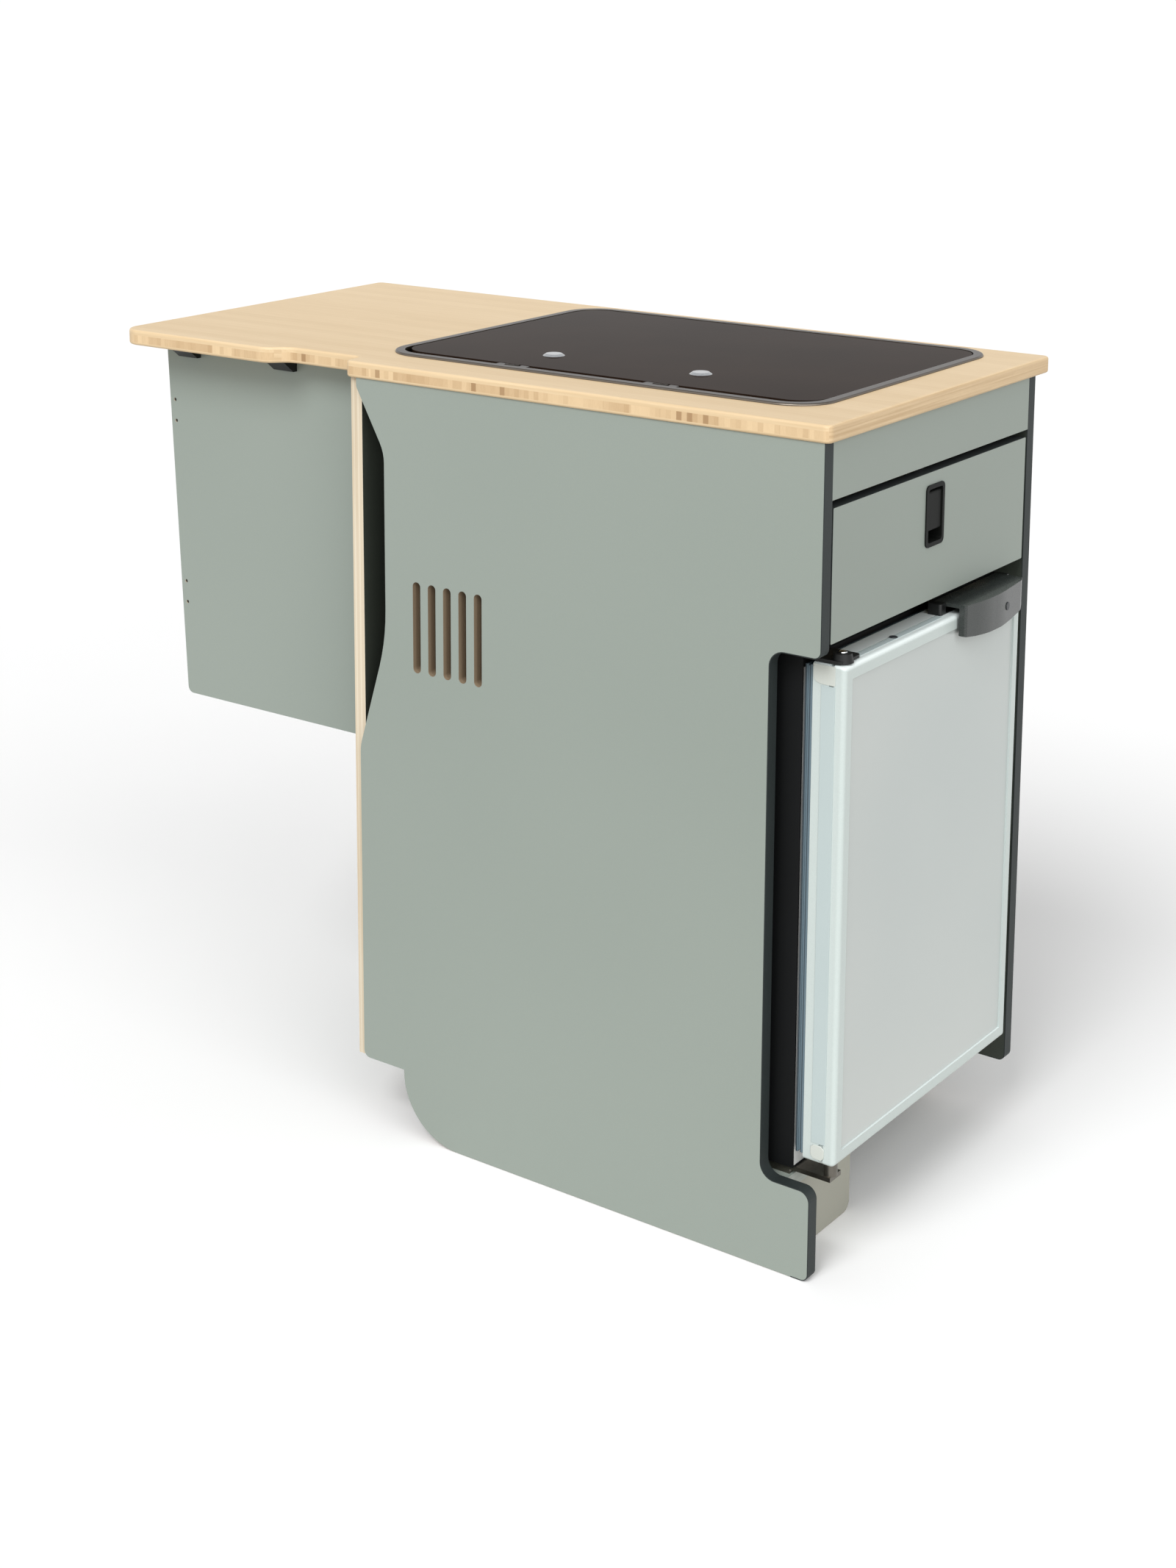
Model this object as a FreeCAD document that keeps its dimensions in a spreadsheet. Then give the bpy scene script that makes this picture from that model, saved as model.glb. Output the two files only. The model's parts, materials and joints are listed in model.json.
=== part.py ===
import FreeCAD, Part

import os
from types import SimpleNamespace

import Sketcher
from FreeCAD import Placement, Rotation, Vector

# Kitchenette unit of a camper van. While it is drawn, x runs along the unit and is 0 at the face of
# the drawer, y runs from the van's wall (0) to the aisle, and z is up from the floor.
# The finished pieces are moved so that the origin is on the floor under the middle of the whole unit.

doc = FreeCAD.newDocument("kitchenette")
sheet = doc.addObject("Spreadsheet::Sheet", "Sizes")

DRIVING_SIZES = (
    # Carcass
    ("floor_to_worktop", 860, "height of the carcass"),
    ("unit_width", 452, "across both side panels"),
    ("unit_length", 580, "wall-side panel, end to end"),
    ("panel_thickness", 15, "board of the carcass"),
    ("edge_band", 1, "thickness of the dark edge band"),
    ("band_wrap", 20, "how far the band turns under a panel"),
    ("notch_depth", 57, "cut in the wall-side panel that bares the fridge"),
    ("notch_bottom", 97, "height of the toe below the notch"),
    ("notch_top", 648, "top of the notch"),
    ("notch_radius", 16, "inner corners of the notch"),
    ("toe_radius", 12, "outer corner of the toe"),
    ("foot_radius", 8, "corner of the foot on the floor"),
    ("heel_length", 58, "step behind the heel"),
    ("heel_height", 77, "height of that step"),
    ("heel_radius", 75, "round of the heel"),
    ("scallop_depth", 38, "finger scallop in the wall-side panel"),
    ("scallop_top", 850, "where the scallop starts under the worktop"),
    ("scallop_bottom", 445, "where it ends"),
    ("scallop_slope", 68, "height of its upper slope"),
    ("scallop_low_slope", 128, "height of its lower slope"),
    ("scallop_radius", 45, "bends of the scallop"),
    ("scallop_low_radius", 230, "its long bend above the lower slope"),
    ("slot_count", 5, "vent slots"),
    ("slot_pitch", 20.8, "from slot to slot"),
    ("slot_width", 10.4, "width of a slot"),
    ("slot_bottom", 543.5, "lower end of the slots"),
    ("slot_height", 101.5, "length of a slot"),
    ("first_slot", 498.3, "first slot's centre line behind the face"),
    ("divider_lip", 3.6, "how far the wall-side panel laps the divider"),
    ("lip_thickness", 5, "thickness of that lap"),
    ("aisle_toe_height", 70, "the aisle-side panel's clearance over the floor"),
    ("aisle_toe_length", 120, "how far that clearance reaches back"),
    ("fascia_height", 58, "board over the drawer"),
    ("plinth_setback", 40, "plinth behind the face"),
    ("plinth_width", 140, "plinth leg beside the toe"),
    ("deck_top", 90, "board that carries the fridge"),
    # Worktop
    ("worktop_thickness", 18, "bamboo board"),
    ("worktop_length", 950, "end to end"),
    ("worktop_end_lap", 20.4, "worktop past the cupboard's top end"),
    ("end_overhang", 6, "past the drawer's face"),
    ("wall_overhang", 3, "past the wall-side panel"),
    ("aisle_overhang", 24, "past the aisle-side panel, over the cupboard door"),
    ("worktop_round", 3, "eased edges"),
    ("worktop_corner", 8, "corners in plan"),
    ("step_length", 600, "worktop's deep part"),
    ("step_depth", 28, "how far the overhang's edge steps back"),
    ("step_slope", 103, "length of the stepped-back stretch"),
    ("bay_depth", 20, "S-bend back to the outer edge"),
    ("bay_radius", 24, "bends of the S"),
    # Overhanging cupboard
    ("overhang_setback", 60, "back panel behind the wall-side face"),
    ("overhang_bottom", 431, "underside above the floor"),
    ("overhang_lean", 21.2, "how much its end leans in over its height"),
    ("door_gap", 0.5, "between the cupboard door and the boards"),
    ("door_side_gap", 3.6, "between the cupboard door and its hinges' line"),
    ("door_top_gap", 4, "under the worktop"),
    ("hinge_height", 50, "butt hinge"),
    ("hinge_inset", 60, "hinges from the door's ends"),
    ("knuckle_radius", 3.5, "butt hinge barrel"),
    ("knuckle_pin", 1.5, "butt hinge pin radius"),
    ("leaf_thickness", 1.5, "butt hinge leaf"),
    ("bracket_width", 30, "black corner block under the worktop"),
    ("bracket_height", 17, "the block's height"),
    ("bracket_depth", 22, "the block's depth"),
    ("screw_radius", 2, "screws of the overhang's end panel"),
    ("screw_length", 45, "their length"),
    # Drawer
    ("drawer_height", 134.6, "drawer front"),
    ("drawer_gap", 8, "dark gap over the drawer front"),
    ("drawer_wall_gap", 2.5, "drawer front to wall-side panel"),
    ("drawer_aisle_gap", 4, "drawer front to aisle-side panel"),
    ("drawer_depth", 285, "drawer box behind the front"),
    ("drawer_box_height", 78, "drawer sides"),
    ("drawer_box_lift", 9, "drawer sides above the front's lower edge"),
    ("drawer_board", 12, "drawer sides and back"),
    ("drawer_bottom", 6, "drawer bottom"),
    ("runner_space", 13, "room for a runner on each side"),
    ("runner_height", 35, "outer member"),
    ("runner_length", 270, "each member"),
    ("runner_sheet", 1.2, "steel of the members"),
    ("runner_ball", 3.5, "ball diameter"),
    ("ball_clearance", 0.05, "ball to track"),
    # Latches
    ("latch_width", 39, "black latch, front plate"),
    ("latch_height", 65, "its height"),
    ("latch_corner", 6, "its corners"),
    ("latch_plate", 1.5, "thickness of the front plate"),
    ("latch_border", 4.5, "width of the front plate's border"),
    ("latch_depth", 24, "body behind the panel's face"),
    ("latch_wall", 2.5, "wall of the body"),
    ("latch_side", 212.3, "drawer latch's middle from the aisle-side inner face"),
    ("latch_drop", 45.5, "latch's middle below the drawer front's top"),
    ("paddle_share", 36, "height of the paddle"),
    ("paddle_thickness", 3, "paddle plate"),
    ("bolt_width", 12, "latch bolt"),
    ("bolt_thickness", 4, "latch bolt"),
    ("bolt_short", 0.5, "bolt's nose below the board it catches behind"),
    # Fridge
    ("fridge_wall_gap", 15, "fridge casing to the wall-side panel"),
    ("fridge_aisle_gap", 31, "fridge casing to the aisle-side panel"),
    ("fridge_height", 537, "casing"),
    ("fridge_depth", 443, "casing"),
    ("fridge_front", 37, "casing's front behind the drawer's face"),
    ("fridge_feet", 10, "height of the feet and of the hinge bar"),
    ("casing_sheet", 2, "casing wall"),
    ("foam_thickness", 28, "insulation"),
    ("liner_sheet", 2, "liner wall"),
    ("motor_bay_height", 200, "recess for the compressor"),
    ("motor_bay_depth", 140, "its depth"),
    ("door_aisle_gap", 28, "door to the aisle-side panel"),
    ("door_height", 520, "fridge door"),
    ("door_lift", 16, "door's lower edge above the hinge bar"),
    ("door_thickness", 36, "door frame"),
    ("door_proud", 12, "door's front before the drawer's face"),
    ("door_wall_gap", 12, "door to the wall-side panel's inner face"),
    ("frame_width", 14, "profile round the door"),
    ("frame_lip", 2, "frame stands proud of the front sheet"),
    ("front_sheet", 3, "glossy front sheet"),
    ("frame_round", 5, "round front edge of the profile"),
    ("door_liner_sheet", 3, "plate behind the door"),
    ("door_plug", 18, "raised middle of the door's lining"),
    ("gasket_width", 18, "door seal"),
    ("gasket_gap", 0.3, "seal to casing"),
    ("door_axis_inset", 15, "hinge axis from the door's edge"),
    ("hinge_pin", 4, "door hinge pin radius"),
    ("pin_clearance", 0.05, "pin to bore"),
    ("hinge_plate", 3, "top hinge plate"),
    ("hinge_bar_width", 22, "bottom hinge bar"),
    ("hinge_bar_thickness", 5, "the bar in front of the casing"),
    ("handle_length", 145, "grip along the door"),
    ("handle_height", 25, "grip's height on the door front"),
    ("handle_grip", 8, "thickness of the grip"),
    ("handle_stand", 3, "air between grip and door"),
    ("handle_top", 12, "thickness of base and lever over the door"),
    ("handle_bow", 6, "how far the grip bows"),
    ("shelf_wire", 2, "wire radius of the shelves"),
    ("shelf_gap", 0.3, "shelf to liner"),
    ("freezer_height", 110, "freezer box"),
    ("freezer_front", 170, "freezer box's front behind the drawer's face"),
    ("freezer_sheet", 1.5, "freezer box sheet"),
    ("compressor_radius", 55, "compressor shell"),
    ("compressor_height", 125, "compressor shell"),
    # Hob and sink combination
    ("hob_end_border", 47, "steel rim from the drawer's face"),
    ("hob_length", 548, "steel rim"),
    ("hob_aisle_lap", 18, "steel rim past the aisle-side panel's inner face"),
    ("hob_wall_border", 56, "steel rim from the wall-side face"),
    ("hob_corner", 45, "corners of the rim"),
    ("rim_width", 20, "rim from its edge to the recess"),
    ("seat_inset", 9.5, "rim's edge to the step that the lid lies in"),
    ("rim_thickness", 2.5, "rim above the worktop"),
    ("tray_sheet", 1.2, "steel of the tray"),
    ("recess_depth", 40, "recess under the lid"),
    ("bowl_length", 240, "sink bowl"),
    ("bowl_aisle_space", 29, "bowl from the recess's aisle side"),
    ("bowl_depth", 115, "sink bowl below the recess"),
    ("bowl_corner", 60, "corners of the bowl"),
    ("bowl_inset", 16, "bowl from the recess's end"),
    ("bowl_wall_space", 42, "bowl from the recess's wall side"),
    ("cutout_gap", 2, "tray to worktop cut-out"),
    ("glass_thickness", 4, "lid"),
    ("glass_inset", 12, "glass from the rim's ends and aisle edge"),
    ("glass_wall_inset", 22, "glass from the rim's wall edge"),
    ("lid_lift", 2.5, "rubber buffers under the glass"),
    ("lid_sunk", 0.5, "glass below the rim's top"),
    ("lid_hinge_spread", 189, "between the two lid hinges"),
    ("lid_hinge_end", 234, "first lid hinge behind the drawer's face"),
    ("lid_axis_inset", 16, "hinge axis from the rim's wall edge"),
    ("lid_pin", 1.5, "lid hinge pin radius"),
    ("cap_radius", 12, "chrome cap on the glass"),
    ("cap_reach", 75, "cap from the hinge axis"),
    ("burner_back", 215, "burners behind the drawer's face"),
    ("grid_gap", 7, "pan support from the recess's sides"),
    ("burner_margin", 82, "burners from the pan support's outer bars"),
    ("burner_radius", 38, "burner ring"),
    ("knob_back", 90, "gas knobs behind the drawer's face"),
    ("knob_first", 215, "first knob from the wall-side face"),
    ("knob_pitch", 80, "between the knobs"),
    ("knob_radius", 17, "gas knob"),
    ("knob_height", 18, "gas knob"),
    ("spindle_radius", 4, "valve spindle"),
    ("grid_wire", 2.5, "pan support wire radius"),
    ("waste_radius", 19, "waste tail"),
    ("tap_radius", 15, "tap base"),
    ("spout_length", 190, "folded spout"),
    ("spout_radius", 7, "spout tube"),
)


class Size:
    """A length: its formula over the sheet's cells, and the number it comes to now."""

    def __init__(self, formula, number):
        self.formula = formula
        self.number = number

    @staticmethod
    def of(value):
        return value if isinstance(value, Size) else Size(f"({value!r})", float(value))

    def __add__(self, other):
        other = Size.of(other)
        return Size(f"({self.formula} + {other.formula})", self.number + other.number)

    def __sub__(self, other):
        other = Size.of(other)
        return Size(f"({self.formula} - {other.formula})", self.number - other.number)

    def __mul__(self, factor):
        return Size(f"({self.formula} * {factor!r})", self.number * factor)

    def __truediv__(self, divisor):
        return Size(f"({self.formula} / {divisor!r})", self.number / divisor)

    def __neg__(self):
        return Size(f"(-1 * {self.formula})", -self.number)

    def __radd__(self, other):
        return Size.of(other) + self

    def __rsub__(self, other):
        return Size.of(other) - self

    __rmul__ = __mul__


size = SimpleNamespace()
for row, (alias, value, meaning) in enumerate(DRIVING_SIZES, start=1):
    sheet.set(f"A{row}", meaning)
    sheet.set(f"B{row}", str(value))
    sheet.setAlias(f"B{row}", alias)
    setattr(size, alias, Size(f"Sizes.{alias}", float(value)))
doc.recompute()

# The origin is under the middle of everything: the worktop reaches furthest except at the fridge door,
# where the grip of the handle stands out.
handle_face = size.door_proud + size.handle_stand + size.handle_grip + size.handle_bow
worktop_end = size.end_overhang - size.worktop_length
MIDDLE_X = (worktop_end + handle_face) / 2
MIDDLE_Y = (size.unit_width + size.aisle_overhang - size.wall_overhang) / 2

starts = {}
subparts = []


def place(thing, x=0, y=0, z=0):
    """Tie an object's position to lengths."""
    for axis, value in zip("xyz", (x, y, z)):
        thing.setExpression(f"Placement.Base.{axis}", Size.of(value).formula)
    starts[thing.Name] = (x, y, z)


def subpart(label, thing):
    """Name a finished piece and move it to the unit's own origin."""
    thing.Label = label
    x, y, z = starts.get(thing.Name, (0, 0, 0))
    place(thing, x - MIDDLE_X, y - MIDDLE_Y, z)
    subparts.append(thing)
    return thing


def box(name, low, high):
    thing = doc.addObject("Part::Box", name)
    for side, near, far in zip(("Length", "Width", "Height"), low, high):
        thing.setExpression(side, (Size.of(far) - near).formula)
    place(thing, *low)
    return thing


AIM = {
    "X": Rotation(Vector(0, 1, 0), 90),
    "Y": Rotation(Vector(1, 0, 0), -90),
    "Z": Rotation(),
}


def cylinder(name, start, length, radius, axis="Z"):
    thing = doc.addObject("Part::Cylinder", name)
    thing.Placement = Placement(Vector(), AIM[axis])
    thing.setExpression("Radius", Size.of(radius).formula)
    thing.setExpression("Height", Size.of(length).formula)
    place(thing, *start)
    return thing


def cone(name, start, length, radius, end_radius, axis="Z"):
    thing = doc.addObject("Part::Cone", name)
    thing.Placement = Placement(Vector(), AIM[axis])
    thing.setExpression("Radius1", Size.of(radius).formula)
    thing.setExpression("Radius2", Size.of(end_radius).formula)
    thing.setExpression("Height", Size.of(length).formula)
    place(thing, *start)
    return thing


def ball(name, centre, radius):
    thing = doc.addObject("Part::Sphere", name)
    thing.setExpression("Radius", Size.of(radius).formula)
    place(thing, *centre)
    return thing


def fuse(name, *shapes):
    thing = doc.addObject("Part::MultiFuse", name)
    thing.Shapes = list(shapes)
    return thing


def cut(name, base, *tools):
    thing = doc.addObject("Part::Cut", name)
    thing.Base = base
    thing.Tool = tools[0] if len(tools) == 1 else fuse(f"{name}_tools", *tools)
    return thing


def group(name, *shapes):
    """Several separate solids that share one file."""
    thing = doc.addObject("Part::Compound", name)
    thing.Links = list(shapes)
    return thing


# How a flat outline is turned up: u and v are its own directions, and it is padded along the third.
TURN = {
    "XY": Rotation(),
    "XZ": Rotation(Vector(1, 0, 0), 90),
    "YZ": Rotation(Vector(1, 1, 1), 120),
}


def soften(body, radius, chosen):
    """Round the chosen edges of a body."""
    doc.recompute()
    base = body.Tip
    names = [f"Edge{count}" for count, edge in enumerate(base.Shape.Edges, start=1) if chosen(edge)]
    rounding = body.newObject("PartDesign::Fillet", f"{body.Name}_round")
    rounding.Base = (base, names)
    rounding.setExpression("Radius", Size.of(radius).formula)
    body.Tip = rounding


def stands_at(corner):
    """Choose the edge that a corner of the outline makes along the padding."""
    u, v = Size.of(corner[0]).number, Size.of(corner[1]).number

    def chosen(edge):
        ends = [vertex.Point for vertex in edge.Vertexes]
        return len(ends) == 2 and all(abs(end.x - u) + abs(end.y - v) < 0.01 for end in ends)

    return chosen


def prism(name, plane, low, high, corners):
    """Board or block: a closed outline padded from low to high. A corner is (u, v) or (u, v, radius)."""
    body = doc.addObject("PartDesign::Body", name)
    body.Placement = Placement(Vector(), TURN[plane])
    sketch = body.newObject("Sketcher::SketchObject", f"{name}_outline")
    flat = next(item for item in body.Origin.OriginFeatures if item.Role == "XY_Plane")
    sketch.AttachmentSupport = [(flat, "")]
    sketch.MapMode = "FlatFace"
    sizes = [(Size.of(corner[0]), Size.of(corner[1])) for corner in corners]
    points = [Vector(u.number, v.number, 0) for u, v in sizes]
    for count, point in enumerate(points):
        sketch.addGeometry(Part.LineSegment(point, points[(count + 1) % len(points)]))
    for count, (u, v) in enumerate(sizes):
        after = (count + 1) % len(points)
        sketch.addConstraint(Sketcher.Constraint("Coincident", count, 2, after, 1))
        across = sketch.addConstraint(Sketcher.Constraint("DistanceX", -1, 1, count, 1, u.number))
        sketch.setExpression(f"Constraints[{across}]", u.formula)
        upward = sketch.addConstraint(Sketcher.Constraint("DistanceY", -1, 1, count, 1, v.number))
        sketch.setExpression(f"Constraints[{upward}]", v.formula)
    pad = body.newObject("PartDesign::Pad", f"{name}_pad")
    pad.Profile = sketch
    pad.setExpression("Length", (Size.of(high) - low).formula)
    body.Tip = pad
    for corner in corners:
        if len(corner) == 3:
            soften(body, corner[2], stands_at(corner))
    base = {"XY": (0, 0, low), "XZ": (0, high, 0), "YZ": (low, 0, 0)}[plane]
    place(body, *base)
    return body


def rectangle(low_u, low_v, high_u, high_v, radius=None):
    """Corners of an upright rectangle, sharp or rounded alike."""
    corners = [(low_u, low_v), (high_u, low_v), (high_u, high_v), (low_u, high_v)]
    return corners if radius is None else [(u, v, radius) for u, v in corners]


def inset(path, distance):
    """Move an edge path into its board. A path corner is (u, v, radius, bulges, du, dv)."""
    return [
        (u + distance * du, v + distance * dv) if radius is None
        else (u + distance * du, v + distance * dv, radius - distance * (1 if bulges else -1))
        for u, v, radius, bulges, du, dv in path
    ]


def banded(path):
    """The outline of the band along an edge path: out along its face, back along its glue line."""
    outside = [(u, v) if radius is None else (u, v, radius) for u, v, radius, *_ in path]
    return outside + inset(path, size.edge_band)[::-1]


# ---------------------------------------------------------------- carcass

top = size.floor_to_worktop
board = size.panel_thickness
aisle_face = size.unit_width
aisle_inner = aisle_face - board
heel = size.heel_length - size.unit_length
divider_right = size.divider_lip - size.unit_length
divider_left = divider_right - board

# Wall-side panel: notch for the fridge door in front, rounded heel behind, scallop and vent slots.
wall_edge = [
    (0, top, None, True, -1, 0),
    (0, size.notch_top, size.foot_radius, True, -1, 1),
    (-size.notch_depth, size.notch_top, size.notch_radius, False, -1, 1),
    (-size.notch_depth, size.notch_bottom, size.notch_radius, False, -1, -1),
    (0, size.notch_bottom, size.toe_radius, True, -1, -1),
    (0, 0, size.foot_radius, True, -1, 1),
    (-size.band_wrap, 0, None, True, 0, 1),
]
scallop_floor = size.scallop_depth - size.unit_length
wall_outline = inset(wall_edge, size.edge_band) + [
    (-size.band_wrap, 0),
    (heel, 0, size.heel_radius),
    (heel, size.heel_height),
    (-size.unit_length, size.heel_height, size.foot_radius),
    (-size.unit_length, size.scallop_bottom, size.scallop_radius),
    (scallop_floor, size.scallop_bottom + size.scallop_low_slope, size.scallop_low_radius),
    (scallop_floor, size.scallop_top - size.scallop_slope, size.scallop_radius),
    (-size.unit_length, size.scallop_top, size.foot_radius),
    (-size.unit_length, top),
]
slots = []
for count in range(int(size.slot_count.number)):
    middle = -size.first_slot + size.slot_pitch * count
    half = size.slot_width / 2
    outline = rectangle(middle - half, size.slot_bottom, middle + half, size.slot_bottom + size.slot_height,
                        size.slot_width * 0.49)
    slots.append(prism(f"vent_slot_{count + 1}", "XZ", -1, board + 1, outline))
rebate = box("divider_rebate", (-size.unit_length - 1, size.lip_thickness, 0), (divider_right, board + 1, top + 1))
subpart("wall_side_panel", cut("wall_panel", prism("wall_board", "XZ", 0, board, wall_outline), rebate, *slots))
wall_band = prism("wall_band", "XZ", 0, board, banded(wall_edge))

# Aisle-side panel: cut short over the floor in front, standing on a foot further back.
aisle_edge = [
    (0, top, None, True, -1, 0),
    (0, size.aisle_toe_height, size.foot_radius, True, -1, 1),
    (-size.band_wrap, size.aisle_toe_height, None, True, 0, 1),
]
aisle_outline = inset(aisle_edge, size.edge_band) + [
    (-size.band_wrap, size.aisle_toe_height),
    (-size.aisle_toe_length, size.aisle_toe_height, size.notch_radius),
    (-size.aisle_toe_length, 0, size.foot_radius),
    (heel, 0, size.heel_radius),
    (heel, size.heel_height),
    (divider_right, size.heel_height),
    (divider_right, top),
]
subpart("aisle_side_panel", prism("aisle_board", "XZ", aisle_inner, aisle_face, aisle_outline))
aisle_band = prism("aisle_band", "XZ", aisle_inner, aisle_face, banded(aisle_edge))
subpart("panel_edge_bands", group("band_set", wall_band, aisle_band))

subpart("divider_panel", prism("divider_board", "XY", size.heel_height, top,
                               rectangle(divider_left, size.lip_thickness, divider_right, aisle_face)))
subpart("fascia_panel", prism("fascia_board", "YZ", -board, 0,
                              rectangle(board, top - size.fascia_height, aisle_inner, top)))

fridge_back = -size.fridge_front - size.fridge_depth
subpart("fridge_deck", prism("deck_board", "XY", size.deck_top - board, size.deck_top,
                             rectangle(fridge_back, board, -size.plinth_setback, aisle_inner)))
plinth_corners = rectangle(board, 0, board + size.plinth_width, size.deck_top - board)
plinth_corners[1] = plinth_corners[1] + (size.toe_radius,)
subpart("plinth_leg", prism("plinth_board", "YZ", -size.plinth_setback - board, -size.plinth_setback,
                            plinth_corners))

# ---------------------------------------------------------------- worktop

worktop_top = top + size.worktop_thickness
wall_lip = -size.wall_overhang
aisle_lip = aisle_face + size.aisle_overhang
step_x = size.end_overhang - size.step_length
bay_x = step_x - size.step_slope
bay_edge = wall_lip + size.step_depth
worktop_outline = [
    (size.end_overhang, wall_lip, size.worktop_corner),
    (size.end_overhang, aisle_lip, size.worktop_corner),
    (worktop_end, aisle_lip, size.worktop_corner),
    (worktop_end, bay_edge - size.bay_depth, size.worktop_corner * 3),
    (bay_x - size.bay_depth, bay_edge - size.bay_depth, size.bay_radius),
    (bay_x, bay_edge, size.bay_radius),
    (step_x, bay_edge, size.worktop_corner),
    (step_x, wall_lip, size.worktop_corner),
]
worktop_board = prism("worktop_board", "XY", top, worktop_top, worktop_outline)
soften(worktop_board, size.worktop_round,
       lambda edge: edge.BoundBox.ZLength < 0.01)

hob_end = -size.hob_end_border
hob_start = hob_end - size.hob_length
hob_wall = size.hob_wall_border
hob_aisle = aisle_inner + size.hob_aisle_lap
recess_corner = size.hob_corner - size.rim_width


def hob_rectangle(margin, radius):
    """The hob's outline drawn in by a margin all round."""
    return rectangle(hob_start + margin, hob_wall + margin, hob_end - margin, hob_aisle - margin, radius)


seat_corner = size.hob_corner - size.seat_inset
cutout_margin = size.seat_inset - size.cutout_gap
hob_cutout = prism("hob_cutout", "XY", top - 1, worktop_top + 1,
                   hob_rectangle(cutout_margin, seat_corner + size.cutout_gap))
subpart("worktop", cut("worktop_with_cutout", worktop_board, hob_cutout))

# ---------------------------------------------------------------- overhanging cupboard

overhang_height = top - size.overhang_bottom


def lean_at(height):
    """How far the cupboard's end has leaned in at a height above the floor."""
    share = (top.number - Size.of(height).number) / overhang_height.number
    return size.overhang_lean * share


overhang_top_end = worktop_end + size.worktop_end_lap
overhang_low_end = overhang_top_end + size.overhang_lean
back_face = size.overhang_setback + board
screw_heights = (788.5, 763.4, 569.0, 543.6)
screws = []
screw_bores = []
for count, height in enumerate(screw_heights):
    middle = (overhang_top_end + lean_at(height) + board / 2, size.overhang_setback, height)
    bore_radius = size.screw_radius + size.pin_clearance
    screw_bores.append(cylinder(f"screw_bore_{count}", middle, size.screw_length, bore_radius, "Y"))
    start = (middle[0], middle[1] + 1, middle[2])
    screws.append(cylinder(f"screw_{count}", start, size.screw_length - 1, size.screw_radius, "Y"))

setback_board = prism("setback_board", "XZ", size.overhang_setback, back_face, [
    (divider_left, top),
    (overhang_top_end, top),
    (overhang_low_end, size.overhang_bottom, size.foot_radius),
    (divider_left, size.overhang_bottom),
])
subpart("setback_panel", cut("setback_bored", setback_board, *screw_bores))
end_board = prism("end_board", "XZ", back_face, aisle_face, [
    (overhang_top_end, top),
    (overhang_low_end, size.overhang_bottom),
    (overhang_low_end + board, size.overhang_bottom),
    (overhang_top_end + board, top),
])
subpart("overhang_end_panel", cut("end_board_bored", end_board, *screw_bores))
floor_lean = lean_at(size.overhang_bottom + board)
subpart("overhang_floor", prism("overhang_floor_board", "XZ", back_face, aisle_face, [
    (divider_left, size.overhang_bottom),
    (overhang_low_end + board, size.overhang_bottom),
    (overhang_top_end + floor_lean + board, size.overhang_bottom + board),
    (divider_left, size.overhang_bottom + board),
]))

blocks = []
for count, start in enumerate((899, 749)):
    blocks.append(prism(f"block_{count}", "YZ", -start, size.bracket_width - start, [
        (size.overhang_setback - size.bracket_depth, top - 4),
        (size.overhang_setback - 6, top - size.bracket_height),
        (size.overhang_setback, top - size.bracket_height),
        (size.overhang_setback, top),
        (size.overhang_setback - size.bracket_depth, top),
    ]))
subpart("worktop_brackets", group("bracket_set", *blocks))

# Cupboard door over the boards' aisle edges, on two butt hinges at the divider.
door_in = aisle_face + size.door_gap
door_out = door_in + board
door_hinge_edge = divider_left - size.door_side_gap
door_low = size.overhang_bottom + 2
door_high = top - size.door_top_gap
axis_x = door_hinge_edge + size.leaf_thickness + size.knuckle_radius + 0.3
axis_y = door_in + size.knuckle_radius + 0.3
cupboard_door = prism("cupboard_door_board", "XZ", door_in, door_out, [
    (door_hinge_edge, door_high),
    (overhang_top_end + lean_at(door_high) + 2, door_high, 4),
    (overhang_top_end + lean_at(door_low) + 2, door_low, 4),
    (door_hinge_edge, door_low),
])

fixed_leaves = []
door_leaves = []
half_hinge = size.hinge_height / 2
for count, low in enumerate((door_low + size.hinge_inset, door_high - size.hinge_inset - size.hinge_height)):
    middle = low + half_hinge
    lower = cylinder(f"fixed_knuckle_{count}", (axis_x, axis_y, low), half_hinge - 0.2, size.knuckle_radius)
    plate = box(f"fixed_leaf_{count}", (axis_x, aisle_face, low),
                (axis_x + 26, aisle_face + size.leaf_thickness, low + size.hinge_height))
    relief = box(f"leaf_relief_{count}", (axis_x - 1, aisle_face - 1, middle - 0.2),
                 (axis_x + size.knuckle_radius + 0.5, door_out, low + size.hinge_height + 1))
    leaf_pin = cylinder(f"leaf_pin_{count}", (axis_x, axis_y, low + 1), size.hinge_height - 1, size.knuckle_pin)
    leaf = cut(f"fixed_hinge_{count}", fuse(f"fixed_body_{count}", lower, plate), relief)
    fixed_leaves.append(fuse(f"fixed_hinge_pinned_{count}", leaf, leaf_pin))
    bore_again = cylinder(f"door_bore_{count}", (axis_x, axis_y, low - 1), size.hinge_height + 2,
                          size.knuckle_pin + size.pin_clearance)
    upper = cylinder(f"door_knuckle_{count}", (axis_x, axis_y, middle + 0.2), half_hinge - 0.2, size.knuckle_radius)
    edge_plate = box(f"door_leaf_{count}", (door_hinge_edge, door_in + 0.5, low),
                     (door_hinge_edge + size.leaf_thickness, door_out, low + size.hinge_height))
    web = box(f"door_web_{count}", (door_hinge_edge, axis_y - size.knuckle_radius, middle + 0.2),
              (axis_x, axis_y - size.knuckle_radius + size.leaf_thickness, low + size.hinge_height))
    door_leaves.append(cut(f"door_hinge_{count}", fuse(f"door_leaf_body_{count}", upper, edge_plate, web), bore_again))
subpart("cupboard_hinge_fixed_leaves", group("fixed_leaf_set", *fixed_leaves))
subpart("cupboard_hinge_door_leaves", group("door_leaf_set", *door_leaves))

# ---------------------------------------------------------------- latches

PADDLE_PIVOT_DROP = 6


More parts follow.
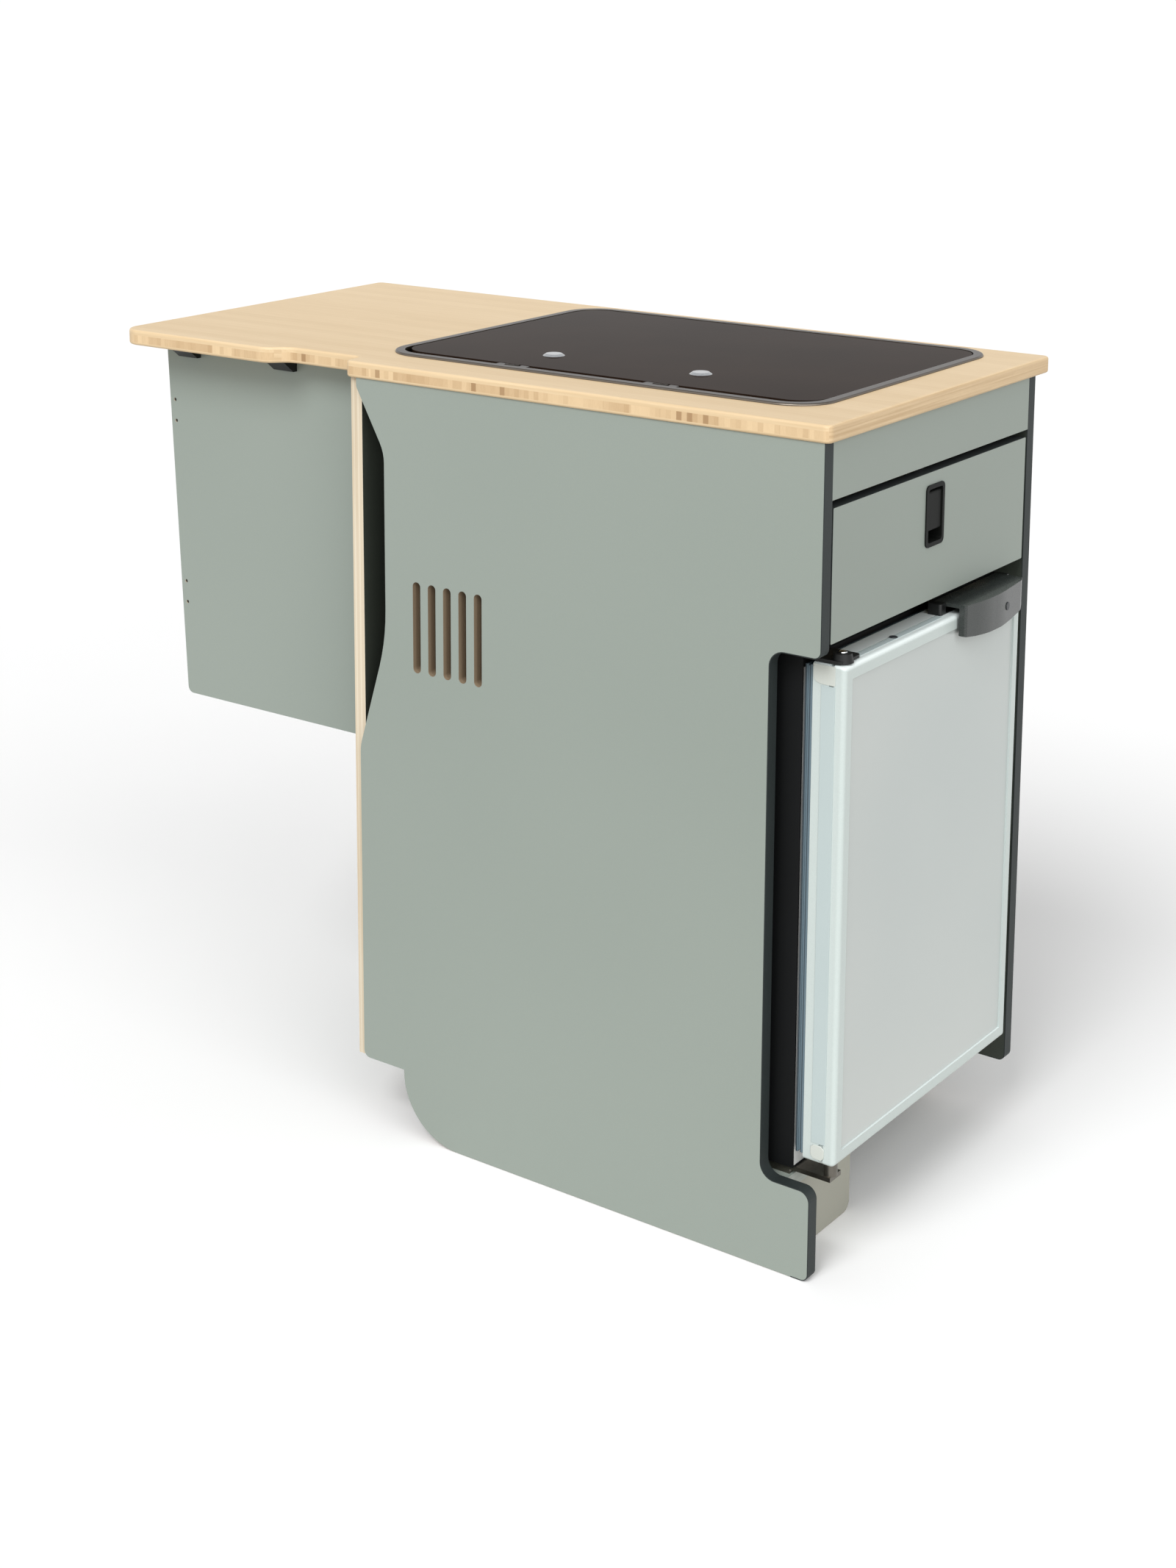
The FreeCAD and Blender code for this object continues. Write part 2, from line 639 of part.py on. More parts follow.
def turned(name, thing, middle, turn):
    """Carry a piece drawn about the latch's middle to its panel, turned about the upright."""
    carrier = group(name, thing)
    carrier.Placement = Placement(Vector(), Rotation(Vector(0, 0, 1), turn))
    place(carrier, *middle)
    return carrier


def latch(name, middle, turn, reach):
    """Slam latch let into a panel, drawn facing +x about its middle. Its bolt reaches up behind the panel."""
    half_width = size.latch_width / 2
    half_height = size.latch_height / 2
    body_width = half_width - size.latch_border + size.latch_wall
    body_height = half_height - size.latch_border + size.latch_wall
    well_width = half_width - size.latch_border
    well_height = half_height - size.latch_border
    plate = prism(f"{name}_plate", "YZ", 0, size.latch_plate,
                  rectangle(-half_width, -half_height, half_width, half_height, size.latch_corner))
    shell = prism(f"{name}_shell", "YZ", -size.latch_depth, 0,
                  rectangle(-body_width, -body_height, body_width, body_height, size.latch_corner / 2))
    well = prism(f"{name}_well", "YZ", size.latch_wall - size.latch_depth, size.latch_plate + 1,
                 rectangle(-well_width, -well_height, well_width, well_height, size.latch_corner / 2))
    slide_half = size.bolt_width / 2 + 0.3
    bolt_back = size.latch_wall - size.latch_depth + 0.3
    bolt_front = bolt_back + size.bolt_thickness
    way_out = box(f"{name}_way_out", (bolt_back - 0.3, -slide_half, well_height - 1),
                  (bolt_front + 0.3, slide_half, body_height + 1))
    pin_start = -well_width - size.latch_wall
    pin_height = well_height - PADDLE_PIVOT_DROP
    pin_depth = -size.paddle_thickness
    pin_bore = cylinder(f"{name}_pin_bore", (pin_depth, pin_start - 1, pin_height), body_width * 2 + 2,
                        size.knuckle_pin + size.pin_clearance, "Y")
    housing = cut(f"{name}_housing_cut", fuse(f"{name}_housing_solid", plate, shell), well, way_out, pin_bore)
    subpart(f"{name}_housing", turned(f"{name}_housing_set", housing, middle, turn))

    side = well_width - 0.4
    leaf = box(f"{name}_leaf", (-size.paddle_thickness, -side, pin_height - size.paddle_share),
               (0, side, pin_height))
    barrel = cylinder(f"{name}_barrel", (pin_depth, -side, pin_height), side * 2, size.paddle_thickness, "Y")
    lip = cylinder(f"{name}_lip", (pin_depth + 0.5, -side, pin_height - size.paddle_share), side * 2,
                   size.paddle_thickness * 0.8, "Y")
    trunnion = cylinder(f"{name}_trunnion", (pin_depth, -body_width, pin_height), body_width * 2,
                        size.knuckle_pin, "Y")
    paddle = fuse(f"{name}_paddle_solid", leaf, barrel, lip, trunnion)
    subpart(f"{name}_paddle", turned(f"{name}_paddle_set", paddle, middle, turn))

    bar = box(f"{name}_bar", (bolt_back, -size.bolt_width / 2, -size.bolt_width),
              (bolt_front, size.bolt_width / 2, reach))
    subpart(f"{name}_bolt", turned(f"{name}_bolt_set", bar, middle, turn))


def latch_hole(name, middle, turn):
    """The opening that a latch body needs in its panel."""
    half_width = size.latch_width / 2 - size.latch_border + size.latch_wall + 0.3
    half_height = size.latch_height / 2 - size.latch_border + size.latch_wall + 0.3
    hole = prism(name, "YZ", -board - 1, 1, rectangle(-half_width, -half_height, half_width, half_height))
    return turned(f"{name}_carrier", hole, middle, turn)


# ---------------------------------------------------------------- drawer

drawer_high = top - size.fascia_height - size.drawer_gap
drawer_low = drawer_high - size.drawer_height
drawer_latch_middle = (0, aisle_inner - size.latch_side, drawer_high - size.latch_drop)
drawer_board = prism("drawer_front_board", "YZ", -board, 0, rectangle(
    board + size.drawer_wall_gap, drawer_low, aisle_inner - size.drawer_aisle_gap, drawer_high, 1.5))
subpart("drawer_front", cut("drawer_front_cut", drawer_board, latch_hole("drawer_hole", drawer_latch_middle, 0)))
latch("drawer_latch", drawer_latch_middle, 0, size.latch_drop + size.drawer_gap - size.bolt_short)

box_wall = board + size.runner_space
box_aisle = aisle_inner - size.runner_space
box_low = drawer_low + size.drawer_box_lift
box_high = box_low + size.drawer_box_height
box_back = -board - size.drawer_depth
side_wall = box("drawer_wall_side", (box_back, box_wall, box_low), (-board, box_wall + size.drawer_board, box_high))
side_aisle = box("drawer_aisle_side", (box_back, box_aisle - size.drawer_board, box_low), (-board, box_aisle, box_high))
back = box("drawer_back_board", (box_back, box_wall + size.drawer_board, box_low),
           (box_back + size.drawer_board, box_aisle - size.drawer_board, box_high))
subpart("drawer_sides", group("drawer_side_set", side_wall, side_aisle))
subpart("drawer_back", group("drawer_back_set", back))
bottom_inner = (box_back + size.drawer_board, box_wall + size.drawer_board, box_low)
bottom_outer = (-board, box_aisle - size.drawer_board, box_low + size.drawer_bottom)
subpart("drawer_bottom", group("drawer_bottom_set", box("drawer_bottom_board", bottom_inner, bottom_outer)))

# Ball runners. Each has a member on the carcass, one between, and one on the drawer side.
runner_middle_z = (box_low + box_high) / 2
runner_front = -board - 4
runner_back = runner_front - size.runner_length
track = size.runner_ball + size.ball_clearance * 2
outer_half = size.runner_height / 2
between_half = outer_half - size.runner_sheet - track
inner_half = between_half - size.runner_sheet - track


def runner_member(name, side, webs, flanges, half):
    """Folded steel member: an upright web and two flanges, measured from its carcass panel."""
    def across(distance):
        return board + distance if side > 0 else aisle_inner - distance

    def slab(label, near, far, low, high):
        first, second = across(near), across(far)
        low_y, high_y = (first, second) if side > 0 else (second, first)
        return box(f"{name}_{label}", (runner_back, low_y, runner_middle_z + low),
                   (runner_front, high_y, runner_middle_z + high))

    web = slab("web", webs[0], webs[1], -half, half)
    upper = slab("upper", flanges[0], flanges[1], half - size.runner_sheet, half)
    lower = slab("lower", flanges[0], flanges[1], -half, -half + size.runner_sheet)
    return fuse(f"{name}_member", web, upper, lower)


runner_parts = {"outer": [], "middle": [], "inner": [], "balls": []}
sheet_steel = size.runner_sheet
for label, side in (("wall", 1), ("aisle", -1)):
    space = size.runner_space
    middle_web = space / 2
    runner_parts["outer"].append(runner_member(
        f"{label}_outer", side, (0, sheet_steel), (0, middle_web - 0.8), outer_half))
    runner_parts["middle"].append(runner_member(
        f"{label}_middle", side, (middle_web - sheet_steel / 2, middle_web + sheet_steel / 2),
        (sheet_steel + 0.8, space - sheet_steel - 0.8), between_half))
    runner_parts["inner"].append(runner_member(
        f"{label}_inner", side, (space - sheet_steel, space), (middle_web + 0.8 + sheet_steel / 2, space), inner_half))
    for row, (half, depth, first) in enumerate((
            (outer_half - sheet_steel - track / 2, (middle_web - 0.8) * 0.66, 0.55),
            (between_half - sheet_steel - track / 2, space - (middle_web - 0.8) * 0.55, 0.05))):
        across = board + depth if side > 0 else aisle_inner - depth
        for count in range(4):
            along = runner_front - size.runner_length * (first + 0.12 * (count // 2 + count % 2 * 0.3) + 0.04)
            height = runner_middle_z + (half if count % 2 else -half)
            runner_parts["balls"].append(ball(f"{label}_ball_{row}_{count}", (along, across, height),
                                              size.runner_ball / 2))
subpart("runner_outer_members", group("runner_outer_set", *runner_parts["outer"]))
subpart("runner_middle_members", group("runner_middle_set", *runner_parts["middle"]))
subpart("runner_inner_members", group("runner_inner_set", *runner_parts["inner"]))
subpart("runner_balls", group("runner_ball_set", *runner_parts["balls"]))

# Cupboard door latch and the door itself, now that its hole can be cut.
cupboard_latch_middle = (overhang_top_end + 60, door_out, door_high - size.latch_drop)
subpart("cupboard_door", cut("cupboard_door_cut", cupboard_door, latch_hole("cupboard_hole", cupboard_latch_middle, 90)))
latch("cupboard_latch", cupboard_latch_middle, 90, size.latch_drop + size.door_top_gap - size.bolt_short)

# ---------------------------------------------------------------- fridge

casing_wall = board + size.fridge_wall_gap
casing_aisle = aisle_inner - size.fridge_aisle_gap
casing_low = size.deck_top + size.fridge_feet
casing_high = casing_low + size.fridge_height
casing_front = -size.fridge_front


def cabinet_block(name, margin, front):
    """The fridge's stepped body drawn in by a margin, up to a front plane."""
    back = fridge_back + margin
    bay_front = fridge_back + size.motor_bay_depth + margin
    bay_top = casing_low + size.motor_bay_height + margin
    low = casing_low + margin
    high = casing_high - margin
    return prism(name, "XZ", casing_wall + margin, casing_aisle - margin, [
        (front, low), (front, high), (back, high), (back, bay_top), (bay_front, bay_top), (bay_front, low)])


sheet_margin = size.casing_sheet
foam_margin = sheet_margin + size.foam_thickness
liner_margin = foam_margin + size.liner_sheet
flange_back = casing_front - size.liner_sheet
door_wall = board + size.door_wall_gap
door_aisle = aisle_inner - size.door_aisle_gap
keeper_aisle = door_aisle - 63
keeper = box("handle_keeper", (casing_front - 6, keeper_aisle - 30, casing_high - 1),
             (casing_front - 3, keeper_aisle, casing_high + 7))
motor_floor = box("motor_floor", (fridge_back, casing_wall, casing_low),
                  (fridge_back + size.motor_bay_depth + 1, casing_aisle, casing_low + size.casing_sheet))
subpart("fridge_casing", fuse("casing_with_floor", cut(
    "casing_shell", cabinet_block("casing_block", 0, casing_front),
    cabinet_block("casing_hollow", sheet_margin, casing_front + 1)), motor_floor, keeper))
flange = box("liner_flange", (flange_back, casing_wall + sheet_margin, casing_low + sheet_margin),
             (casing_front, casing_aisle - sheet_margin, casing_high - sheet_margin))
knob_x = -120
knob_z = casing_high - 190
knob_hole = cylinder("thermostat_hole", (knob_x, casing_aisle - liner_margin - 1, knob_z), liner_margin, 3.05, "Y")
subpart("fridge_liner", cut("liner_shell", fuse(
    "liner_solid", cabinet_block("liner_block", foam_margin, casing_front), flange),
    cabinet_block("liner_hollow", liner_margin, casing_front + 1), knob_hole))

feet = []
for count, (x, y) in enumerate(((fridge_back + 25, casing_wall + 30), (fridge_back + 25, casing_aisle - 30),
                                (casing_front - 25, casing_aisle - 30))):
    feet.append(cylinder(f"foot_{count}", (x, y, size.deck_top), size.fridge_feet, 12))
subpart("fridge_feet", group("foot_set", *feet))

# Wire shelves, freezer box with its flap, thermostat knob.
room_wall = casing_wall + liner_margin
room_aisle = casing_aisle - liner_margin
room_low = casing_low + liner_margin
room_high = casing_high - liner_margin
low_back = fridge_back + size.motor_bay_depth + liner_margin
high_back = fridge_back + liner_margin
step_top = casing_low + size.motor_bay_height + liner_margin


def wire_shelf(name, back, front, height):
    """Fridge shelf: a frame of wire with thinner wires across it."""
    wire = size.shelf_wire
    low_y = room_wall + size.shelf_gap
    high_y = room_aisle - size.shelf_gap
    rods = [
        cylinder(f"{name}_front", (front, low_y, height), high_y - low_y, wire, "Y"),
        cylinder(f"{name}_back", (back, low_y, height), high_y - low_y, wire, "Y"),
    ]
    for count in range(9):
        across = low_y + (high_y - low_y) * (0.01 + 0.1225 * count)
        rods.append(cylinder(f"{name}_wire_{count}", (back, across, height), front - back, wire * 0.7, "X"))
    return fuse(name, *rods)


subpart("fridge_shelves", group(
    "shelf_set",
    wire_shelf("low_shelf", low_back + 6, casing_front - 40, room_low + 95),
    wire_shelf("high_shelf", high_back + 6, casing_front - 40, step_top + size.shelf_wire + 0.3)))

ice_front = -size.freezer_front
ice_low = room_high - size.freezer_height
ice_sheet = size.freezer_sheet
ice_wall = room_wall + 0.3
ice_aisle = room_aisle - 0.3
ice_shell = box("ice_shell", (high_back, ice_wall, ice_low), (ice_front, ice_aisle, room_high))
ice_hollow = box("ice_hollow", (high_back + ice_sheet, ice_wall + ice_sheet, ice_low + ice_sheet),
                 (ice_front + 1, ice_aisle - ice_sheet, room_high - ice_sheet))
flap_axis_x = ice_front - 5
flap_axis_z = room_high - ice_sheet - 4.5
flap_bore = cylinder("flap_bore", (flap_axis_x, ice_wall - 1, flap_axis_z), ice_aisle - ice_wall + 2, 1.55, "Y")
subpart("freezer_box", cut("freezer_box_cut", ice_shell, ice_hollow, flap_bore))
flap_wall = ice_wall + ice_sheet + 0.5
flap_aisle = ice_aisle - ice_sheet - 0.5
flap_leaf = box("flap_leaf", (flap_axis_x, flap_wall, ice_low + ice_sheet + 1), (flap_axis_x + 3, flap_aisle, flap_axis_z))
flap_roll = cylinder("flap_roll", (flap_axis_x, flap_wall, flap_axis_z), flap_aisle - flap_wall, 3.5, "Y")
flap_trunnion = cylinder("flap_trunnion", (flap_axis_x, ice_wall, flap_axis_z), ice_aisle - ice_wall, 1.5, "Y")
subpart("freezer_flap", fuse("flap_solid", flap_leaf, flap_roll, flap_trunnion))

dial = cone("dial", (knob_x, room_aisle - 14, knob_z), 13.7, 12, 15, "Y")
dial_spindle = cylinder("dial_spindle", (knob_x, room_aisle - 1, knob_z), 12, 3, "Y")
dial_mark = box("dial_mark", (knob_x - 1, room_aisle - 15, knob_z + 3), (knob_x + 1, room_aisle - 13, knob_z + 13))
subpart("thermostat_knob", cut("dial_cut", fuse("dial_solid", dial, dial_spindle), dial_mark))

# Cooling unit in the recess behind: compressor and finned condenser on one base plate.
bay_middle_x = fridge_back + size.motor_bay_depth / 2
plate_top = casing_low + size.casing_sheet
motor_y = casing_wall + 90
motor_base = box("motor_base", (bay_middle_x - 60, casing_wall + 15, plate_top),
                 (bay_middle_x + 58, casing_aisle - 15, plate_top + 4))
radius = size.compressor_radius
drum_height = size.compressor_height - radius * 0.4
motor_drum = cylinder("motor_drum", (bay_middle_x, motor_y, plate_top + 2), drum_height, radius)
motor_dome = cone("motor_dome", (bay_middle_x, motor_y, plate_top + 2 + drum_height), radius * 0.4, radius,
                  radius * 0.45)
motor_box = box("motor_electrics", (bay_middle_x - 25, motor_y + radius - 12, plate_top + 20),
                (bay_middle_x + 25, motor_y + radius + 15, plate_top + 75))
fin_wall = motor_y + radius + 40
fin_depth = casing_aisle - 25 - fin_wall
fins = []
for count in range(10):
    along = bay_middle_x - 50 + count * 10
    fins.append(box(f"fin_{count}", (along, fin_wall, plate_top + 2), (along + 1.5, fin_wall + fin_depth, plate_top + 130)))
for count in range(4):
    height = plate_top + 22 + count * 28
    fins.append(cylinder(f"fin_tube_{count}", (bay_middle_x - 55, fin_wall + fin_depth / 2, height), 105, 5, "X"))
fins.append(box("fin_feed", (bay_middle_x - 4, motor_y + radius + 10, plate_top + 60),
                (bay_middle_x + 4, fin_wall + 10, plate_top + 66)))
subpart("cooling_unit", fuse("cooling_unit_solid", motor_base, motor_drum, motor_dome, motor_box, *fins))

# Fridge door: profile frame, glossy sheet, core, lining, seal, bottle rail.
fridge_door_low = casing_low + size.door_lift
fridge_door_high = fridge_door_low + size.door_height
fridge_door_face = size.door_proud
fridge_door_back = size.door_proud - size.door_thickness
inner_wall = door_wall + size.frame_width
inner_aisle = door_aisle - size.frame_width
inner_low = fridge_door_low + size.frame_width
inner_high = fridge_door_high - size.frame_width
fridge_axis_y = door_wall + size.door_axis_inset

frame_block = prism("frame_block", "YZ", fridge_door_back, fridge_door_face,
                    rectangle(door_wall, fridge_door_low, door_aisle, fridge_door_high, 3))
soften(frame_block, size.frame_round,
       lambda edge: edge.BoundBox.ZMin > size.door_thickness.number - 0.01)
frame_window = box("frame_window", (fridge_door_back - 1, inner_wall, inner_low),
                   (fridge_door_face + 1, inner_aisle, inner_high))
groove = cut("profile_groove",
             box("groove_outer", (-6, door_wall - 1, fridge_door_low - 1), (-1, door_aisle + 1, fridge_door_high + 1)),
             box("groove_inner", (-7, door_wall + 1.5, fridge_door_low + 1.5),
                 (0, door_aisle - 1.5, fridge_door_high - 1.5)))
pin_bores = cylinder("door_pin_bores", (0, fridge_axis_y, fridge_door_low - 1), size.door_height + 2,
                     size.hinge_pin + size.pin_clearance)
plug_hole = cylinder("frame_plug_hole", (-2, door_wall + 120, fridge_door_high - 6), 7, 2.5)
subpart("fridge_door_frame", cut("frame_cut", frame_block, frame_window, groove, pin_bores, plug_hole))
sheet_front = fridge_door_face - size.frame_lip
sheet_back = sheet_front - size.front_sheet
subpart("fridge_door_sheet", group("door_sheet_set", box(
    "door_sheet", (sheet_back, inner_wall, inner_low), (sheet_front, inner_aisle, inner_high))))
lining_back = fridge_door_back - size.door_liner_sheet
lining_plate = box("lining_plate", (lining_back, door_wall + 6, fridge_door_low + 6),
                   (fridge_door_back, door_aisle - 6, fridge_door_high - 6))
plug_back = lining_back - size.door_plug
plug_block = prism("plug_block", "YZ", plug_back, lining_back,
                   rectangle(room_wall + 10, room_low + 12, room_aisle - 10, ice_low - 12, 12))
plug_hollow = prism("plug_hollow", "YZ", plug_back - 1, lining_back - 1,
                    rectangle(room_wall + 24, room_low + 26, room_aisle - 24, ice_low - 26, 8))
bin_floor = box("bin_floor", (plug_back, room_wall + 20, room_low + 60), (lining_back, room_aisle - 20, room_low + 63))
bin_front = box("bin_front", (plug_back, room_wall + 20, room_low + 60), (plug_back + 3, room_aisle - 20, room_low + 120))
subpart("fridge_door_lining", fuse("lining_solid", lining_plate, cut("plug_cut", plug_block, plug_hollow),
                                   bin_floor, bin_front))

seal_back = casing_front + size.gasket_gap
seal_middle = seal_back + 2.7
seal_wall = door_wall + 3
seal_aisle = door_aisle - 3
seal_low = fridge_door_low + 4
seal_high = fridge_door_high - 4
seal_outer = box("seal_outer", (seal_middle, seal_wall, seal_low), (fridge_door_back, seal_aisle, seal_high))
lip_inset = fridge_axis_y + 1 - seal_wall
seal_lip = box("seal_lip", (seal_back, seal_wall + lip_inset, seal_low + lip_inset),
               (seal_middle + 1, seal_aisle - lip_inset, seal_high - lip_inset))
seal_inner = box("seal_inner", (seal_back - 1, seal_wall + size.gasket_width, seal_low + size.gasket_width),
                 (fridge_door_back + 1, seal_aisle - size.gasket_width, seal_high - size.gasket_width))
seal_rebate = box("seal_rebate", (lining_back, door_wall + 6, fridge_door_low + 6),
                  (fridge_door_back + 1, door_aisle - 6, fridge_door_high - 6))
seal_groove = cut("seal_groove_ring",
                  box("seal_groove_outer", (seal_middle + 2.6, seal_wall - 1, seal_low - 1),
                      (seal_middle + 5.2, seal_aisle + 1, seal_high + 1)),
                  box("seal_groove_inner", (seal_middle + 2, seal_wall + 1.6, seal_low + 1.6),
                      (seal_middle + 6, seal_aisle - 1.6, seal_high - 1.6)))
subpart("fridge_door_seal", cut("seal_cut", fuse("seal_solid", seal_outer, seal_lip), seal_inner, seal_rebate,
                                seal_groove))

# Hinges of the fridge door: a plate on the casing above, a steel bar under the casing below.
hinge_plate_low = casing_high
plate_outline = rectangle(-85, casing_wall, 6, fridge_axis_y + 26, 5)
hinge_plate = prism("hinge_plate", "XY", hinge_plate_low, hinge_plate_low + size.hinge_plate, plate_outline)
hinge_cap = cone("hinge_cap", (0, fridge_axis_y, hinge_plate_low), 9, 11, 9)
hinge_pin = cylinder("hinge_top_pin", (0, fridge_axis_y, inner_high), hinge_plate_low - inner_high, size.hinge_pin)
screw_seat = cylinder("hinge_screw_seat", (-55, fridge_axis_y + 4, hinge_plate_low), 20, 5.2)
subpart("top_hinge", cut("top_hinge_cut", fuse("top_hinge_solid", hinge_plate, hinge_cap, hinge_pin), screw_seat))
screw_head = cone("hinge_screw_head", (-55, fridge_axis_y + 4, hinge_plate_low), 5, 5, 3.5)
subpart("visible_screws", group("screw_set", screw_head, *screws))
bar_wall = fridge_axis_y - 8
bar_aisle = bar_wall + size.hinge_bar_width
hinge_bar = box("hinge_bar", (casing_front - 37, bar_wall, casing_low - size.hinge_bar_thickness),
                (4, bar_aisle, casing_low))
bar_foot = box("hinge_bar_foot", (casing_front - 37, bar_wall, size.deck_top), (casing_front - 6, bar_aisle, casing_low))
low_pin = cylinder("hinge_low_pin", (0, fridge_axis_y, casing_low), inner_low - casing_low, size.hinge_pin)
low_collar = cylinder("hinge_collar", (0, fridge_axis_y, casing_low), size.door_lift - 0.5, size.hinge_pin + 3)
subpart("bottom_hinge_bar", fuse("bottom_hinge_solid", hinge_bar, bar_foot, low_pin, low_collar))

# Handle on the far end of the door's top rail: black base on the door, grey lever with a bowed grip.
grip_aisle = door_aisle - 6
grip_wall = grip_aisle - size.handle_length
base_high = fridge_door_high + size.handle_top
base_wall = grip_wall - 12
lever_axis_x = -12
lever_axis_z = fridge_door_high + size.handle_top / 2
handle_block = prism("handle_block", "XY", fridge_door_high, base_high, [
    (0, base_wall, 3), (0, grip_aisle), (fridge_door_back + 2, grip_aisle), (fridge_door_back + 2, base_wall + 14),
    (-15, base_wall)])
lever_room = box("lever_room", (-18, grip_wall - 0.5, fridge_door_high + 1), (5, grip_aisle - 4, base_high + 1))
lever_bore = cylinder("lever_bore", (lever_axis_x, grip_wall - 11, lever_axis_z), size.handle_length + 12, 2, "Y")
subpart("handle_base", cut("handle_base_cut", handle_block, lever_room, lever_bore))
lever_pin = cylinder("lever_pin", (lever_axis_x, grip_wall - 10, lever_axis_z), size.handle_length + 8, 1.95, "Y")
grip_back = fridge_door_face + size.handle_stand
grip_front = grip_back + size.handle_grip
bow = size.handle_bow
lever_end = grip_aisle - 4.5
grip_low = fridge_door_high - size.handle_height
grip_block = prism("grip_block", "XY", grip_low, base_high, [
    (grip_back, grip_wall), (grip_front, grip_wall, 3),
    (grip_front + bow, grip_wall + size.handle_length * 0.25, size.handle_length * 1.25),
    (grip_front + bow, grip_wall + size.handle_length * 0.5, size.handle_length * 1.5),
    (grip_front, lever_end - 12, 12),
    (grip_front - 5, lever_end, 2), (grip_back, lever_end)])
grip_belly = prism("grip_belly", "YZ", grip_back - 1, grip_front + bow + 1, [
    (grip_wall - 1, grip_low - 1), (lever_end + 1, grip_low - 1), (lever_end + 1, grip_low + 7),
    (grip_wall + size.handle_length * 0.85, grip_low + 3.6), (grip_wall + size.handle_length * 0.68, grip_low + 1.2),
    (grip_wall + size.handle_length * 0.5, grip_low), (grip_wall + size.handle_length * 0.3, grip_low + 0.3),
    (grip_wall + size.handle_length * 0.12, grip_low + 1.7), (grip_wall - 1, grip_low + 3.8)])
grip = cut("grip_shaped", grip_block, grip_belly)
lever_plate = box("lever_plate", (lever_axis_x, grip_wall, base_high - 4), (grip_back + 1, lever_end, base_high))
lever_roll = cylinder("lever_roll", (lever_axis_x, grip_wall, lever_axis_z), lever_end - grip_wall, 4.5, "Y")
lever_web = box("lever_web", (lever_axis_x - 2, grip_wall, lever_axis_z), (lever_axis_x + 2, lever_end, base_high))
subpart("fridge_handle", fuse("handle_solid", grip, lever_plate, lever_roll, lever_web, lever_pin))
# ---------------------------------------------------------------- hob and sink combination

rim_top = worktop_top + size.rim_thickness
recess_floor = worktop_top - size.recess_depth
tray = size.tray_sheet
rim_plate = prism("rim_plate", "XY", worktop_top, rim_top, hob_rectangle(0, size.hob_corner))
soften(rim_plate, size.rim_thickness * 0.8,
       lambda edge: edge.BoundBox.ZMin > size.rim_thickness.number - 0.01)
seat_floor = rim_top - size.lid_sunk - size.glass_thickness - size.lid_lift
seat_out = prism("seat_out", "XY", seat_floor - tray, worktop_top + 1, hob_rectangle(size.seat_inset, seat_corner))
seat_in = prism("seat_in", "XY", seat_floor, rim_top + 1, hob_rectangle(size.seat_inset + tray, seat_corner - tray))
recess_out = prism("recess_out", "XY", recess_floor, seat_floor, hob_rectangle(size.rim_width, recess_corner))
recess_in = prism("recess_in", "XY", recess_floor + tray, rim_top + 1,
                  hob_rectangle(size.rim_width + tray, recess_corner - tray))
bowl_left = hob_start + size.rim_width + size.bowl_inset
bowl_right = bowl_left + size.bowl_length
bowl_wall = hob_wall + size.rim_width + size.bowl_wall_space
bowl_aisle = hob_aisle - size.rim_width - size.bowl_aisle_space
bowl_low = recess_floor - size.bowl_depth
bowl_out = prism("bowl_out", "XY", bowl_low, recess_floor + tray,
                 rectangle(bowl_left, bowl_wall, bowl_right, bowl_aisle, size.bowl_corner))
bowl_in = prism("bowl_in", "XY", bowl_low + tray, recess_floor + tray + 1,
                rectangle(bowl_left + tray, bowl_wall + tray, bowl_right - tray, bowl_aisle - tray,
                          size.bowl_corner - tray))
waste_x = bowl_left + size.bowl_corner * 0.75
waste_y = bowl_wall + size.bowl_corner * 0.9
waste_hole = cylinder("waste_hole", (waste_x, waste_y, bowl_low - 1), 4, size.waste_radius + 0.3)
grid_wall = hob_wall + size.rim_width + size.grid_gap
grid_aisle = hob_aisle - size.rim_width - size.grid_gap - 1
burner_places = [(-size.burner_back, grid_wall + size.burner_margin), (-size.burner_back, grid_aisle - size.burner_margin)]
knob_places = [(-size.knob_back, size.knob_first + size.knob_pitch * count) for count in range(2)]
tap_x = bowl_right - 25
tap_y = bowl_wall - 22
tray_holes = [waste_hole]
for count, (x, y) in enumerate(burner_places):
    tray_holes.append(cylinder(f"burner_hole_{count}", (x, y, recess_floor - 1), 4, size.burner_radius - 8))
for count, (x, y) in enumerate(knob_places):
    tray_holes.append(cylinder(f"knob_hole_{count}", (x, y, recess_floor - 1), 4, size.spindle_radius + 1))
tray_holes.append(cylinder("tap_hole", (tap_x, tap_y, recess_floor - 1), 4, size.tap_radius - 5))
tray_hollow = cut("tray_formed", fuse("tray_solid", rim_plate, seat_out, recess_out, bowl_out), seat_in, recess_in, bowl_in)
subpart("hob_and_sink_tray", cut("tray_pierced", tray_hollow, *tray_holes))

tray_floor = recess_floor + tray
burner_bodies = []
burner_tops = []
for count, (x, y) in enumerate(burner_places):
    ring = cylinder(f"burner_ring_{count}", (x, y, tray_floor), 12, size.burner_radius)
    neck = cylinder(f"burner_neck_{count}", (x, y, recess_floor - 26), 27.2, size.burner_radius - 10)
    crown = cone(f"burner_crown_{count}", (x, y, tray_floor + 12), 4, size.burner_radius - 6, size.burner_radius - 9)
    burner_bodies.append(fuse(f"burner_body_{count}", ring, neck, crown))
    burner_tops.append(cone(f"burner_cap_{count}", (x, y, tray_floor + 16), 5, size.burner_radius - 8,
                            size.burner_radius - 12))
subpart("burner_bodies", group("burner_body_set", *burner_bodies))
subpart("burner_caps", group("burner_cap_set", *burner_tops))

